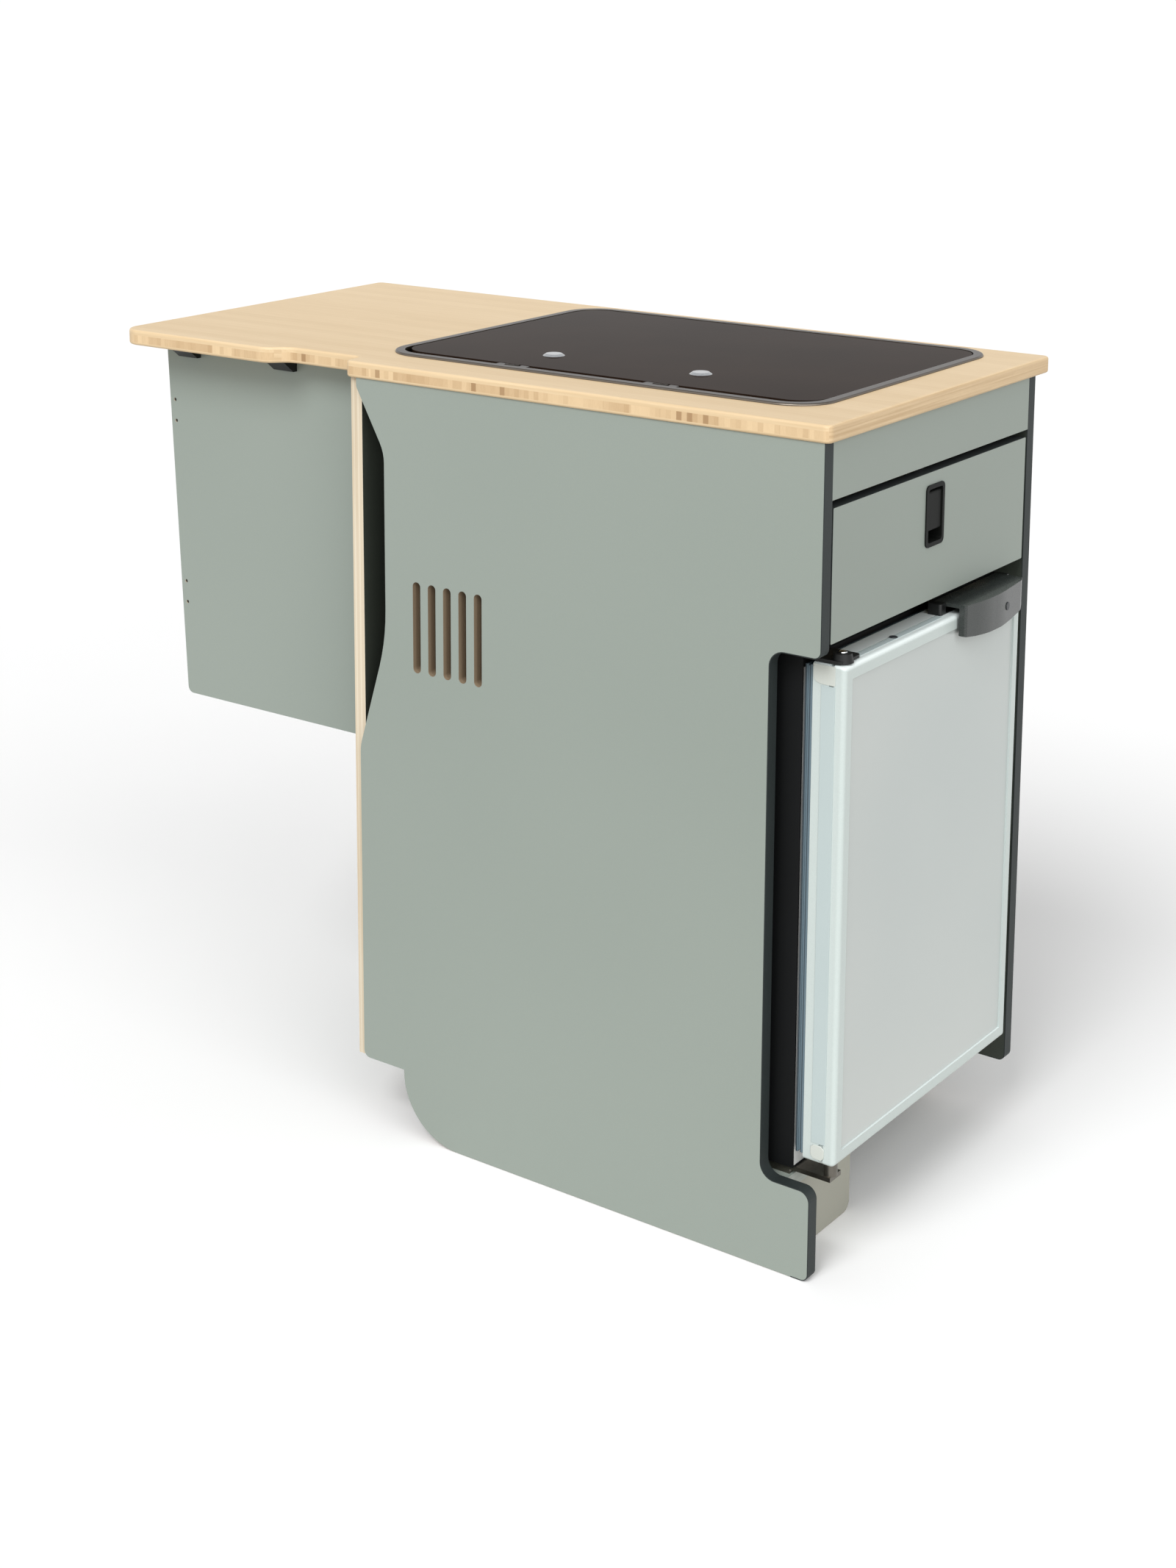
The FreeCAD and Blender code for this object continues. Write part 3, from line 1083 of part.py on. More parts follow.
# Pan support: a wire frame on the tray with four fingers over each burner.
grid = size.grid_wire
grid_left = burner_places[0][0] - 85
grid_right = burner_places[0][0] + 85
grid_low = tray_floor + grid
grid_high = tray_floor + 28
grid_rods = []
for label, along in (("left", grid_left), ("right", grid_right)):
    grid_rods.append(cylinder(f"grid_{label}_rod", (along, grid_wall, grid_low), grid_aisle - grid_wall, grid, "Y"))
    for end, across in enumerate((grid_wall, grid_aisle)):
        grid_rods.append(ball(f"grid_{label}_corner_{end}", (along, across, grid_low), grid * 1.04))
for count, across in enumerate((grid_wall, (grid_wall + grid_aisle) / 2, grid_aisle)):
    grid_rods.append(cylinder(f"grid_cross_{count}", (grid_left, across, grid_low), grid_right - grid_left,
                              grid * 0.92, "X"))
finger = 56
grid_middle = (grid_wall + grid_aisle) / 2
for count, (x, y) in enumerate(burner_places):
    wall_bar, aisle_bar = ((grid_wall, grid_middle), (grid_middle, grid_aisle))[count]
    for label, bend, start, axis in (
            ("left", (grid_left, y), (grid_left, y, grid_high), "X"),
            ("right", (grid_right, y), (grid_right - finger, y, grid_high), "X"),
            ("wall", (x, wall_bar), (x, wall_bar, grid_high), "Y"),
            ("aisle", (x, aisle_bar), (x, aisle_bar - finger, grid_high), "Y")):
        grid_rods.append(cylinder(f"grid_finger_{label}_{count}", start, finger, grid * 0.92, axis))
        grid_rods.append(ball(f"grid_bend_{label}_{count}", (*bend, grid_high), grid * 1.02))
        grid_rods.append(cylinder(f"grid_post_{label}_{count}", (*bend, grid_low), grid_high - grid_low, grid * 0.96))
subpart("pan_support", fuse("pan_support_solid", *grid_rods))

# Gas: rail and valves under the tray, knobs on their spindles, pipes to the burners, inlet pipe.
rail_centre = recess_floor - 30
valve_low = recess_floor - 40
rail_end = aisle_inner - 9
valves = [cylinder("gas_rail_tube", (-size.knob_back, size.knob_first - 20, rail_centre),
                   rail_end - size.knob_first + 20, 6, "Y")]
spindle_bores = []
burner_pipes = []
for count, (x, y) in enumerate(knob_places):
    valves.append(cylinder(f"valve_{count}", (x, y, valve_low), 38, 11))
    spindle_bores.append(cylinder(f"valve_bore_{count}", (x, y, recess_floor - 22), 40,
                                  size.spindle_radius + size.pin_clearance))
    spindle = cylinder(f"spindle_{count}", (x, y, recess_floor - 20), 20 + tray + 14, size.spindle_radius)
    knob_base = tray_floor + 2
    grip_body = cone(f"knob_body_{count}", (x, y, knob_base), size.knob_height, size.knob_radius, size.knob_radius - 3)
    pointer = box(f"knob_pointer_{count}", (x - 1.2, y + 6, knob_base + size.knob_height - 1),
                  (x + 1.2, y + size.knob_radius, knob_base + size.knob_height + 1))
    flutes = [cylinder(f"knob_flute_{side}_{count}", (x + side * size.knob_radius, y, knob_base - 1),
                       size.knob_height + 2, 4.5) for side in (-1, 1)]
    solid = fuse(f"knob_solid_{count}", cut(f"knob_cut_{count}", grip_body, pointer, *flutes), spindle)
    subpart(f"gas_knob_{('wall', 'aisle')[count]}_side", solid)
for count, ((x, y), (knob_at, knob_y)) in enumerate(zip(burner_places, knob_places)):
    height = valve_low + 20
    neck_face = x + size.burner_radius - 10.2
    halfway = (neck_face + knob_at) / 2
    low_y, high_y = (y, knob_y) if count == 0 else (knob_y, y)
    burner_pipes.append(cylinder(f"pipe_run_{count}", (halfway, knob_y, height), knob_at - halfway, 3, "X"))
    burner_pipes.append(cylinder(f"pipe_cross_{count}", (halfway, low_y, height), high_y - low_y, 2.9, "Y"))
    burner_pipes.append(cylinder(f"pipe_end_{count}", (neck_face, y, height), halfway - neck_face, 3, "X"))
    for end, at in enumerate((y, knob_y)):
        burner_pipes.append(ball(f"pipe_elbow_{count}_{end}", (halfway, at, height), 3.2))
inlet_far = divider_right + 20
inlet_y = rail_end - 6
inlet = [cylinder("inlet_run", (inlet_far, inlet_y, rail_centre), -size.knob_back - inlet_far, 3.9, "X"),
         ball("inlet_elbow", (inlet_far, inlet_y, rail_centre), 4.2),
         cylinder("inlet_drop", (inlet_far, inlet_y, rail_centre - 50), 50, 4),
         cylinder("inlet_nut", (inlet_far, inlet_y, rail_centre - 30), 16, 8)]
subpart("gas_rail", cut("gas_rail_bored", fuse("gas_rail_solid", *valves, *burner_pipes, *inlet),
                        *spindle_bores))

# Waste with its downpipe, tap with folded spout.
bowl_floor = bowl_low + tray
waste_rim = cylinder("waste_rim", (waste_x, waste_y, bowl_floor), 2, size.waste_radius + 9)
waste_tail = cylinder("waste_tail", (waste_x, waste_y, bowl_low - 34), 35 + tray, size.waste_radius)
waste_nut = cylinder("waste_nut", (waste_x, waste_y, bowl_low - 8), 8, size.waste_radius + 7)
pipe_low = size.heel_height + 43
pipe_out = cylinder("pipe_out", (waste_x, waste_y, pipe_low + 30), bowl_low - 60 - pipe_low, size.waste_radius - 3)
hose_end = cylinder("hose_end", (waste_x, waste_y, pipe_low), 31, size.waste_radius - 4)
waste_bore = cylinder("waste_bore", (waste_x, waste_y, pipe_low - 1), bowl_low + 60 - pipe_low, size.waste_radius - 6)
waste_cross = box("waste_cross", (waste_x - size.waste_radius + 3, waste_y - 1.5, bowl_floor - 3),
                  (waste_x + size.waste_radius - 3, waste_y + 1.5, bowl_floor))
subpart("sink_waste", fuse("sink_waste_solid", cut("sink_waste_cut", fuse(
    "sink_waste_turned", waste_rim, waste_tail, waste_nut, pipe_out, hose_end), waste_bore), waste_cross))

tap_foot = cylinder("tap_foot", (tap_x, tap_y, tray_floor), 3, size.tap_radius + 3)
tap_stem = cylinder("tap_stem", (tap_x, tap_y, tray_floor), 16, size.tap_radius)
tap_tail = cylinder("tap_tail", (tap_x, tap_y, recess_floor - 30), 32, size.tap_radius - 6)
tap_post = cylinder("tap_post", (tap_x, tap_y, tray_floor + 15), 16, 6)
subpart("tap_base", fuse("tap_base_solid", tap_foot, tap_stem, tap_tail, tap_post))
spout_z = tray_floor + 16.3 + size.spout_radius
swivel = cylinder("spout_swivel", (tap_x, tap_y, tray_floor + 16.3), size.spout_radius * 2, size.tap_radius - 1)
spout_tube = cylinder("spout_tube", (tap_x - size.spout_length, tap_y, spout_z), size.spout_length,
                      size.spout_radius - 1, "X")
spout_tip = cylinder("spout_tip", (tap_x - size.spout_length, tap_y, spout_z - 14), 14 + size.spout_radius - 1,
                     size.spout_radius)
swivel_bore = cylinder("swivel_bore", (tap_x, tap_y, tray_floor + 16), 15.5, 6.05)
tip_bore = cylinder("tip_bore", (tap_x - size.spout_length, tap_y, spout_z - 15), 12, size.spout_radius - 2)
subpart("tap_spout", cut("spout_cut", fuse("spout_solid", swivel, spout_tube, spout_tip), swivel_bore, tip_bore))

# Glass lid on two hinges at the wall side.
glass_low = seat_floor + size.lid_lift
glass_high = glass_low + size.glass_thickness
lid_axis_y = hob_wall + size.lid_axis_inset
lid_axis_z = glass_low + 1.8
glass_wall = hob_wall + size.glass_wall_inset
glass = prism("glass_plate", "XY", glass_low, glass_high, rectangle(
    hob_start + size.glass_inset, glass_wall, hob_end - size.glass_inset, hob_aisle - size.glass_inset,
    size.hob_corner - size.glass_inset))
hinge_places = [-size.lid_hinge_end, -size.lid_hinge_end - size.lid_hinge_spread]
cap_y = lid_axis_y + size.cap_reach
stud_bores = [cylinder(f"stud_bore_{count}", (x, cap_y, glass_low - 1), 10, 3.55)
              for count, x in enumerate(hinge_places)]
subpart("glass_lid", cut("glass_bored", glass, *stud_bores))
arms = []
hinge_blocks = []
for count, x in enumerate(hinge_places):
    knuckle = cylinder(f"lid_knuckle_{count}", (x - 9, lid_axis_y, lid_axis_z), 18, 3, "X")
    tongue = box(f"lid_tongue_{count}", (x - 9, lid_axis_y, seat_floor + 0.4), (x + 9, glass_wall + 2, glass_low))
    spread = box(f"lid_arm_{count}", (x - 14, glass_wall - 0.5, seat_floor + 0.4), (x + 14, cap_y + 14, glass_low))
    arm_bore = cylinder(f"lid_arm_bore_{count}", (x - 10, lid_axis_y, lid_axis_z), 20,
                        size.lid_pin + size.pin_clearance, "X")
    cap = cone(f"lid_cap_{count}", (x, cap_y, glass_high), 2.2, size.cap_radius, size.cap_radius - 3)
    stud = cylinder(f"lid_stud_{count}", (x, cap_y, glass_low - 0.5), size.glass_thickness + 1, 3.5)
    arms.append(cut(f"lid_arm_cut_{count}", fuse(f"lid_arm_solid_{count}", knuckle, tongue, spread, stud, cap),
                    arm_bore))
    block = prism(f"lid_block_{count}", "XY", seat_floor, lid_axis_z + 2.2,
                  rectangle(x - 20, lid_axis_y - 4, x + 20, lid_axis_y + 4, 1.5))
    slot = box(f"lid_slot_{count}", (x - 9.5, lid_axis_y - 7, seat_floor - 1), (x + 9.5, lid_axis_y + 7, lid_axis_z + 4))
    lid_pin = cylinder(f"lid_pin_{count}", (x - 19, lid_axis_y, lid_axis_z), 38, size.lid_pin, "X")
    hinge_blocks.append(fuse(f"lid_block_pinned_{count}", cut(f"lid_block_cut_{count}", block, slot), lid_pin))
subpart("lid_hinge_arms", group("lid_arm_set", *arms))
subpart("lid_hinge_blocks", group("lid_block_set", *hinge_blocks))
buffers = []
for count, (x, y) in enumerate(((hob_start + 60, hob_aisle - 15), (hob_end - 60, hob_aisle - 15))):
    buffers.append(cylinder(f"lid_buffer_{count}", (x, y, seat_floor), size.lid_lift, 2))
subpart("lid_buffers", group("lid_buffer_set", *buffers))

# ---------------------------------------------------------------- check and write

doc.recompute()
failed = [f"{thing.Name}: {thing.getStatusString()}" for thing in doc.Objects
          if {"Invalid", "Error"} & set(thing.State)]
assert not failed, f"failed objects: {failed}"
os.makedirs("parts", exist_ok=True)
for thing in subparts:
    shape = thing.Shape
    assert not shape.isNull() and shape.isValid() and shape.Solids, f"bad shape: {thing.Label}"
    shape.exportStep(f"parts/{thing.Label}.step")
    box_now = shape.BoundBox
    print(f"{thing.Label}: {len(shape.Solids)} solid, {shape.Volume / 1000:.1f} cm3, "
          f"x {box_now.XMin:.1f}..{box_now.XMax:.1f}, y {box_now.YMin:.1f}..{box_now.YMax:.1f}, "
          f"z {box_now.ZMin:.1f}..{box_now.ZMax:.1f}")
print(f"{len(subparts)} sub-parts, origin at x {MIDDLE_X.number:.2f}, y {MIDDLE_Y.number:.2f} of the drawing")
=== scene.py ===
# %% [markdown]
# # A camper kitchenette: boards, bamboo top, glass lid and a small fridge
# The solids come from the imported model, already in metres and in place. This script gives every
# one of them its finish, adds the small trim that the solids leave out, and sets up the studio.
# Loading comes first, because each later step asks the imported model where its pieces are.

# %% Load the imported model
import bpy
import bmesh
import json
import math
from mathutils import Matrix, Vector


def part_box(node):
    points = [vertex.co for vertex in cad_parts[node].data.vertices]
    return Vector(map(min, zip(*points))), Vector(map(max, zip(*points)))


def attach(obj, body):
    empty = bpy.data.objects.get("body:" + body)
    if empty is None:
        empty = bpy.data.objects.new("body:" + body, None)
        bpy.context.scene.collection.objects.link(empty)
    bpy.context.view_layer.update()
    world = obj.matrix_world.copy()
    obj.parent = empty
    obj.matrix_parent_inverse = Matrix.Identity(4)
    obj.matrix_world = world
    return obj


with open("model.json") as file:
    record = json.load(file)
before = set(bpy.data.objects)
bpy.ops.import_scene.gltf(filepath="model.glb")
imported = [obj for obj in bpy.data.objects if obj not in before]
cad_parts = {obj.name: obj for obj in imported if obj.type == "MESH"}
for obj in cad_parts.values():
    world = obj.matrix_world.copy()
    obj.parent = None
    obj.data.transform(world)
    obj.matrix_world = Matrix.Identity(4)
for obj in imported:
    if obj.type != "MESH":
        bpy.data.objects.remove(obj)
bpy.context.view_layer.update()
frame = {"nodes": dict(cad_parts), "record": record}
nodes = frame["nodes"]

# %% [markdown]
# # Shader values as Python sums
# A finish is a network of nodes. Building it by hand takes a line for each node and each link, and
# the idea gets lost. Here one small class holds an output socket, and its operators add Math nodes,
# so a mask reads as a sum. A second class holds one finish and makes every other node.

# %% A value on a wire
class Wire:
    """One output socket of a finish; every sum made with it adds a Math node."""

    def __init__(self, finish, socket):
        self.finish = finish
        self.socket = socket

    def sum_with(self, operation, first, second=0.0):
        return self.finish.node("ShaderNodeMath", {"operation": operation}, {0: first, 1: second})

    def __add__(self, other):
        return self.sum_with("ADD", self, other)

    def __radd__(self, other):
        return self.sum_with("ADD", other, self)

    def __sub__(self, other):
        return self.sum_with("SUBTRACT", self, other)

    def __rsub__(self, other):
        return self.sum_with("SUBTRACT", other, self)

    def __mul__(self, other):
        return self.sum_with("MULTIPLY", self, other)

    def __rmul__(self, other):
        return self.sum_with("MULTIPLY", other, self)

    def __truediv__(self, other):
        return self.sum_with("DIVIDE", self, other)

    def __abs__(self):
        return self.sum_with("ABSOLUTE", self)

    def __gt__(self, other):
        return self.sum_with("GREATER_THAN", self, other)

    def __lt__(self, other):
        return self.sum_with("LESS_THAN", self, other)

    def floor(self):
        return self.sum_with("FLOOR", self)

    def part(self):
        """What is left after floor: it climbs from 0 to 1 again and again, as a saw's teeth do."""
        return self.sum_with("FRACT", self)

    def larger(self, other):
        return self.sum_with("MAXIMUM", self, other)

    def ramp(self, low, high):
        """0 at low and below, 1 at high and above, and even between them."""
        ends = {0: self, 1: low, 2: high, 3: 0.0, 4: 1.0}
        return self.finish.node("ShaderNodeMapRange", {"clamp": True}, ends)

print("sums ready")

# %% One finish and its nodes
class Finish:
    """The node tree of a material or of the world, which is its owner."""

    def __init__(self, owner):
        self.owner = owner
        owner.use_nodes = True
        self.tree = owner.node_tree

    def node(self, kind, settings=None, sockets=None, out=0):
        """A new node of a kind, with its settings, then the values or wires of its sockets."""
        made = self.tree.nodes.new(kind)
        for key, value in (settings or {}).items():
            setattr(made, key, value)
        for key, value in (sockets or {}).items():
            self.feed(made.inputs[key], value)
        return Wire(self, made.outputs[out])

    def feed(self, socket, value):
        if isinstance(value, Wire):
            self.tree.links.new(value.socket, socket)
        else:
            socket.default_value = value

    def place(self):
        """Where a point is, in metres from the part's origin."""
        return self.node("ShaderNodeTexCoord", out="Object")

    def facing(self):
        """The direction that a point's surface looks in."""
        return self.node("ShaderNodeTexCoord", out="Normal")

    def split(self, vector):
        """The x, y and z of a vector, each on its own wire."""
        parts = self.node("ShaderNodeSeparateXYZ", sockets={0: vector})
        return [parts] + [Wire(self, parts.socket.node.outputs[count]) for count in (1, 2)]

    def grain(self, scale, stretch=(1, 1, 1), detail=2.0):
        """Soft noise; a large stretch along an axis makes its blotches short there."""
        spot = self.node("ShaderNodeVectorMath", {"operation": "MULTIPLY"}, {0: self.place(), 1: stretch})
        return self.node("ShaderNodeTexNoise", sockets={"Vector": spot, "Scale": scale, "Detail": detail})

    def chance(self, number):
        """The same number always gives the same chance value, from 0 to 1."""
        return self.node("ShaderNodeTexWhiteNoise", {"noise_dimensions": "1D"}, {"W": number})

    def mix(self, share, first, second):
        """The first colour where share is 0, the second where it is 1."""
        return self.node("ShaderNodeMix", {"data_type": "RGBA"}, {0: share, 6: first, 7: second}, out=2)

    def relief(self, height, depth):
        return self.node("ShaderNodeBump", sockets={"Height": height, "Distance": depth, "Strength": 1.0})

    def surface(self, **sockets):
        """Feed the main shader's sockets, named with _ for a space, and give the finished material."""
        shader = self.tree.nodes["Principled BSDF"]
        for key, value in sockets.items():
            self.feed(shader.inputs[key.replace("_", " ")], value)
        return self.owner

    def looked_at(self):
        """1 for rays of the camera, of reflections and through glass; 0 for rays that carry light."""
        rays = self.node("ShaderNodeLightPath").socket.node.outputs
        camera, glossy, through = (
            Wire(self, rays[f"Is {kind} Ray"]) for kind in ("Camera", "Glossy", "Transmission"))
        return camera.larger(glossy).larger(through)

print("finishes ready")

# %% Colours as they look in daylight
def shade(red, green, blue):
    """A colour given as it looks on a screen, 0 to 255, as the linear numbers that light uses."""
    def linear(level):
        level = level / 255
        return level / 12.92 if level <= 0.04045 else ((level + 0.055) / 1.055) ** 2.4
    return (linear(red), linear(green), linear(blue), 1.0)

def new_finish(name):
    return Finish(bpy.data.materials.new(name))

print("mid grey is", round(shade(128, 128, 128)[0], 3))

# %% [markdown]
# # Grey-green board
# Every panel is plywood with a thin laminate on both faces: grey-green outside, dark slate where a
# face looks into the carcass. One material can do all of it: the direction that a face looks in,
# in the piece's own axes, tells an outer face from an inner one and both from a sawn edge. The
# sawn edge shows thin veneers, or a dark edge band on the fascia and the drawer front.

# %% Colours of the boards
GREY_DARK = shade(136, 146, 139)
GREY_PALE = shade(148, 157, 150)
SLATE_DARK = shade(50, 56, 50)
SLATE_PALE = shade(64, 70, 63)
BAND_DARK = shade(34, 40, 40)
BAND_PALE = shade(46, 52, 52)
PLY_CREAM = shade(218, 207, 186)
PLY_TAN = shade(182, 158, 124)
# Ply colours darkened with painted shade, for the wall panel's sawn edges, which show on the walls of its
# vent slots.
PAINTED_SHADE_PLY_PALE = shade(150, 132, 109)
PAINTED_SHADE_PLY_DARK = shade(120, 103, 83)
print("outer faces", GREY_PALE[:3], "inner faces", SLATE_PALE[:3])

# %% Layers of sawn plywood
BOARD_THICKNESS = 0.015
LAYER_THICKNESS = BOARD_THICKNESS / 5
FIBRES_UPRIGHT = (1.0, 1.0, 0.06)
FIBRES_LEVEL = (0.06, 0.06, 1.0)

def veneers(finish, through, fibre_stretch, pale=PLY_CREAM, dark=PLY_TAN):
    """Sawn plywood: pale layers, a fine dark glue line between them and a few brown fibres."""
    layer = through / LAYER_THICKNESS
    glue = abs(layer.part() - 0.5) > 0.42
    even = (layer / 2.0).part() > 0.5
    fibre = finish.grain(60.0, fibre_stretch, 4.0).ramp(0.48, 0.72)
    return finish.mix(0.24 * even + 0.22 * glue + 0.4 * fibre, pale, dark)

print("a layer is", LAYER_THICKNESS, "m thick")

# %% Laminate faces and layered edges
def board(name, across, inner=0, banded=False, dark=GREY_DARK, pale=GREY_PALE,
          edges=(PLY_CREAM, PLY_TAN)):
    """A laminated board whose thickness runs along axis number across; its inner face looks to the
    plus side (1), the minus side (-1) or is as pale as the outer one (0)."""
    finish = new_finish(name)
    towards = finish.split(finish.facing())[across]
    on_face = abs(towards) > 0.7
    through = finish.split(finish.place())[across]
    speck = finish.grain(1300.0)
    cloud = finish.grain(2.5, detail=1.0)
    laminate = finish.mix(0.4 * speck + 0.75 * cloud - 0.1, dark, pale)
    if inner:
        backing = finish.mix(speck, SLATE_DARK, SLATE_PALE)
        laminate = finish.mix(towards * inner > 0.7, laminate, backing)
    if banded:
        edge = finish.mix(finish.grain(700.0), BAND_DARK, BAND_PALE)
    else:
        edge = veneers(finish, through, FIBRES_UPRIGHT if across < 2 else FIBRES_LEVEL, *edges)
    return finish.surface(
        Base_Color=finish.mix(on_face, edge, laminate),
        Roughness=0.62 - on_face * 0.2 + speck * 0.06,
        Normal=finish.relief(speck * on_face + (1.0 - on_face) * finish.grain(420.0), 0.00004),
    )

boards = {
    # The wall panel's sawn edges wear the ply colours with painted shade.
    "wall_side_panel": board("laminate_wall_side", 1, inner=1, edges=(PAINTED_SHADE_PLY_PALE, PAINTED_SHADE_PLY_DARK)),
    "aisle_side_panel": board("laminate_aisle_side", 1, inner=-1),
    "setback_panel": board("laminate_setback", 1),
    "cupboard_door": board("laminate_cupboard_door", 1),
    "divider_panel": board("laminate_divider", 0, inner=1),
    "overhang_end_panel": board("laminate_end", 0),
    "fascia_panel": board("laminate_fascia", 0, banded=True),
    "drawer_front": board("laminate_drawer", 0, banded=True),
    # The plinth is the same laminate, painted paler and warmer: painted light.
    "plinth_leg": board("laminate_plinth_painted_light", 0, dark=shade(152, 152, 141), pale=shade(166, 166, 154)),
    "fridge_deck": board("laminate_deck", 2, edges=(shade(172, 178, 172), shade(150, 156, 150))),
    "overhang_floor": board("laminate_floor", 2),
}
print(len(boards), "board finishes")

# %% Birch ply of the drawer box
def birch(name, across):
    """Pale bare plywood; its thickness runs along axis number across."""
    finish = new_finish(name)
    on_face = abs(finish.split(finish.facing())[across]) > 0.7
    through = finish.split(finish.place())[across]
    streak = finish.grain(16.0, (1.0, 9.0, 9.0), 4.0)
    face = finish.mix(streak.ramp(0.35, 0.7), shade(222, 203, 168), shade(198, 172, 130))
    edge = veneers(finish, through, (0.06, 1.0, 1.0))
    return finish.surface(
        Base_Color=finish.mix(on_face, edge, face),
        Roughness=0.5 + streak * 0.15,
        Normal=finish.relief(streak, 0.00008),
    )

boards["drawer_sides"] = birch("birch_sides", 1)
boards["drawer_back"] = birch("birch_back", 0)
boards["drawer_bottom"] = birch("birch_bottom", 2)
print("drawer box in birch ply")

# %% [markdown]
# # Bamboo worktop
# The top is bamboo in three layers: long strips above and below, and short strips across between
# them. So the top shows fine lines along its length, the long edge shows the ends of the cross
# strips as narrow blocks in a middle band, and the short edge shows faint level stripes. The
# direction of a face picks the pattern. The blocks come in runs: a slow change decides how much
# the narrow ones may differ, and a rare one is almost brown.

# %% Strips, blocks and stripes
STRIP_WIDTH = 0.0195
STRIP_LENGTH = 1.9
BLOCK_WIDTH = 0.0062
RUN_LENGTH = 0.034
CORE_LOW, CORE_HIGH = 0.8634, 0.8722
CREAM = shade(227, 204, 168)
HONEY = shade(205, 177, 135)
NUT = shade(150, 116, 78)

def bamboo():
    finish = new_finish("oiled_bamboo")
    x, y, z = finish.split(finish.place())
    look_x, look_y = finish.split(finish.facing())[:2]
    strip = (y / STRIP_WIDTH).floor()
    length = (x / STRIP_LENGTH + finish.chance(strip)).floor()
    strip_tone = finish.chance(strip * 7.3 + length * 3.1)
    line = finish.grain(9.0, (1.0, 60.0, 60.0), 3.0)
    hair = finish.grain(40.0, (0.6, 40.0, 40.0), 2.0)
    cloud = finish.grain(5.0, (1.0, 3.0, 3.0), 2.0)
    top = finish.mix(strip_tone * 0.30 + line * 0.45 + cloud * 0.2, CREAM, HONEY)
    top = finish.mix(hair.ramp(0.58, 0.8) * 0.3, top, shade(184, 150, 106))
    block = (x / BLOCK_WIDTH).floor()
    tone = finish.chance(block)
    run = finish.chance((x / RUN_LENGTH).floor() * 1.7 + 5.0).ramp(0.25, 0.95)
    fine = finish.grain(150.0, (8.0, 1.0, 1.2), 2.0)
    core = (z > CORE_LOW) * (z < CORE_HIGH)
    share = tone * 0.32 + run * 0.36 + fine * 0.25 - 0.04
    ends = finish.mix(share, shade(226, 200, 160), shade(172, 138, 98))
    ends = finish.mix((finish.chance(block * 3.7 + 11.0) > 0.955) * 0.75, ends, NUT)
    long_edge = finish.mix(core, finish.mix(line, CREAM, HONEY), ends)
    stripe = finish.grain(14.0, (1.0, 0.5, 34.0), 2.0)
    spot = finish.grain(120.0, (1.0, 1.0, 3.0), 2.0)
    share = stripe.ramp(0.3, 0.75) * 0.75 + spot * 0.25
    short_edge = finish.mix(share, shade(221, 196, 158), shade(190, 160, 120))
    colour = finish.mix(abs(look_y) > 0.7, top, long_edge)
    colour = finish.mix(abs(look_x) > 0.7, colour, short_edge)
    return finish.surface(
        Base_Color=colour,
        Roughness=0.44 + line * 0.16,
        Normal=finish.relief(line * 0.6 + hair * 0.6, 0.00005),
    )

boards["worktop"] = bamboo()
print("worktop in bamboo, blocks of", BLOCK_WIDTH, "m")

# %% [markdown]
# # Metals
# Brushed steel is not a grey paint: long fine scratches stretch its reflections. A noise pulled out
# along one axis, used for roughness and a little relief, gives that. Cast, plated and painted
# metals take the same function with other colours, scratch lengths and gloss.

# %% Brushed, plated and cast metal
def metal(name, pale, dark, rough, stretch=(1, 1, 1), scale=300.0, relief=0.00002, metallic=1.0,
          coat=0.0, gloss=0.5):
    finish = new_finish(name)
    scratch = finish.grain(scale, stretch, 3.0)
    wear = finish.grain(6.0, detail=2.0)
    return finish.surface(
        Base_Color=finish.mix(0.6 * scratch + 0.4 * wear, dark, pale),
        Metallic=metallic,
        Roughness=rough + 0.12 * scratch,
        Coat_Weight=coat,
        Specular_IOR_Level=gloss,
        Normal=finish.relief(scratch, relief),
    )

def paint(name, pale, dark, rough, scale, **others):
    """Enamel, paint or a plastic coat on metal, so the surface itself isn't metallic."""
    return metal(name, pale, dark, rough, scale=scale, metallic=0.0, **others)

metals = {
    "chrome": metal("bright_chrome", shade(242, 243, 243), shade(222, 224, 226), 0.05, relief=0.000004),
    "zinc": metal("zinc_plated_steel", shade(190, 192, 190), shade(142, 146, 146), 0.3, scale=160.0),
    "brass": metal("gas_brass", shade(206, 178, 112), shade(164, 132, 76), 0.28, scale=240.0),
    "burner": metal("cast_burner", shade(150, 150, 148), shade(112, 112, 110), 0.46, scale=900.0,
                    relief=0.00006),
    "bar": metal("hinge_bar_steel", shade(126, 122, 114), shade(90, 86, 79), 0.3, scale=160.0),
    "freezer": metal("freezer_aluminium", shade(214, 217, 218), shade(192, 195, 196), 0.34, (30, 1, 1)),
    "enamel": paint("black_enamel", shade(34, 34, 34), shade(20, 20, 20), 0.3, 800.0, coat=0.3),
    "grid": paint("enamelled_wire", shade(42, 42, 42), shade(26, 26, 26), 0.4, 700.0),
    "black": paint("black_painted_metal", shade(24, 26, 26), shade(13, 14, 14), 0.42, 500.0, gloss=0.3),
    "casing": paint("painted_casing", shade(13, 15, 16), shade(7, 8, 9), 0.6, 500.0, gloss=0.2),
    "wire": paint("coated_shelf_wire", shade(228, 230, 228), shade(212, 214, 212), 0.36, 500.0),
}
print(len(metals), "metal finishes")

# %% Screws that are dark on the long side and bright at the hinge
def screw_steel():
    finish = new_finish("screw_steel")
    at_hinge = finish.split(finish.place())[0] > 0.0
    turned = finish.grain(700.0)
    bright = finish.mix(turned, shade(150, 152, 152), shade(214, 216, 216))
    dark = finish.mix(turned, shade(16, 17, 17), shade(30, 31, 31))
    return finish.surface(
        Base_Color=finish.mix(at_hinge, dark, bright),
        Metallic=at_hinge,
        Roughness=0.4 - at_hinge * 0.22 + 0.05 * turned,
        Normal=finish.relief(turned, 0.00001),
    )

metals["screw"] = screw_steel()
print("screws ready")

# %% Steel tray with a dulled rim
SEAT_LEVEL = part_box("lid_buffers")[0][2] - 0.001

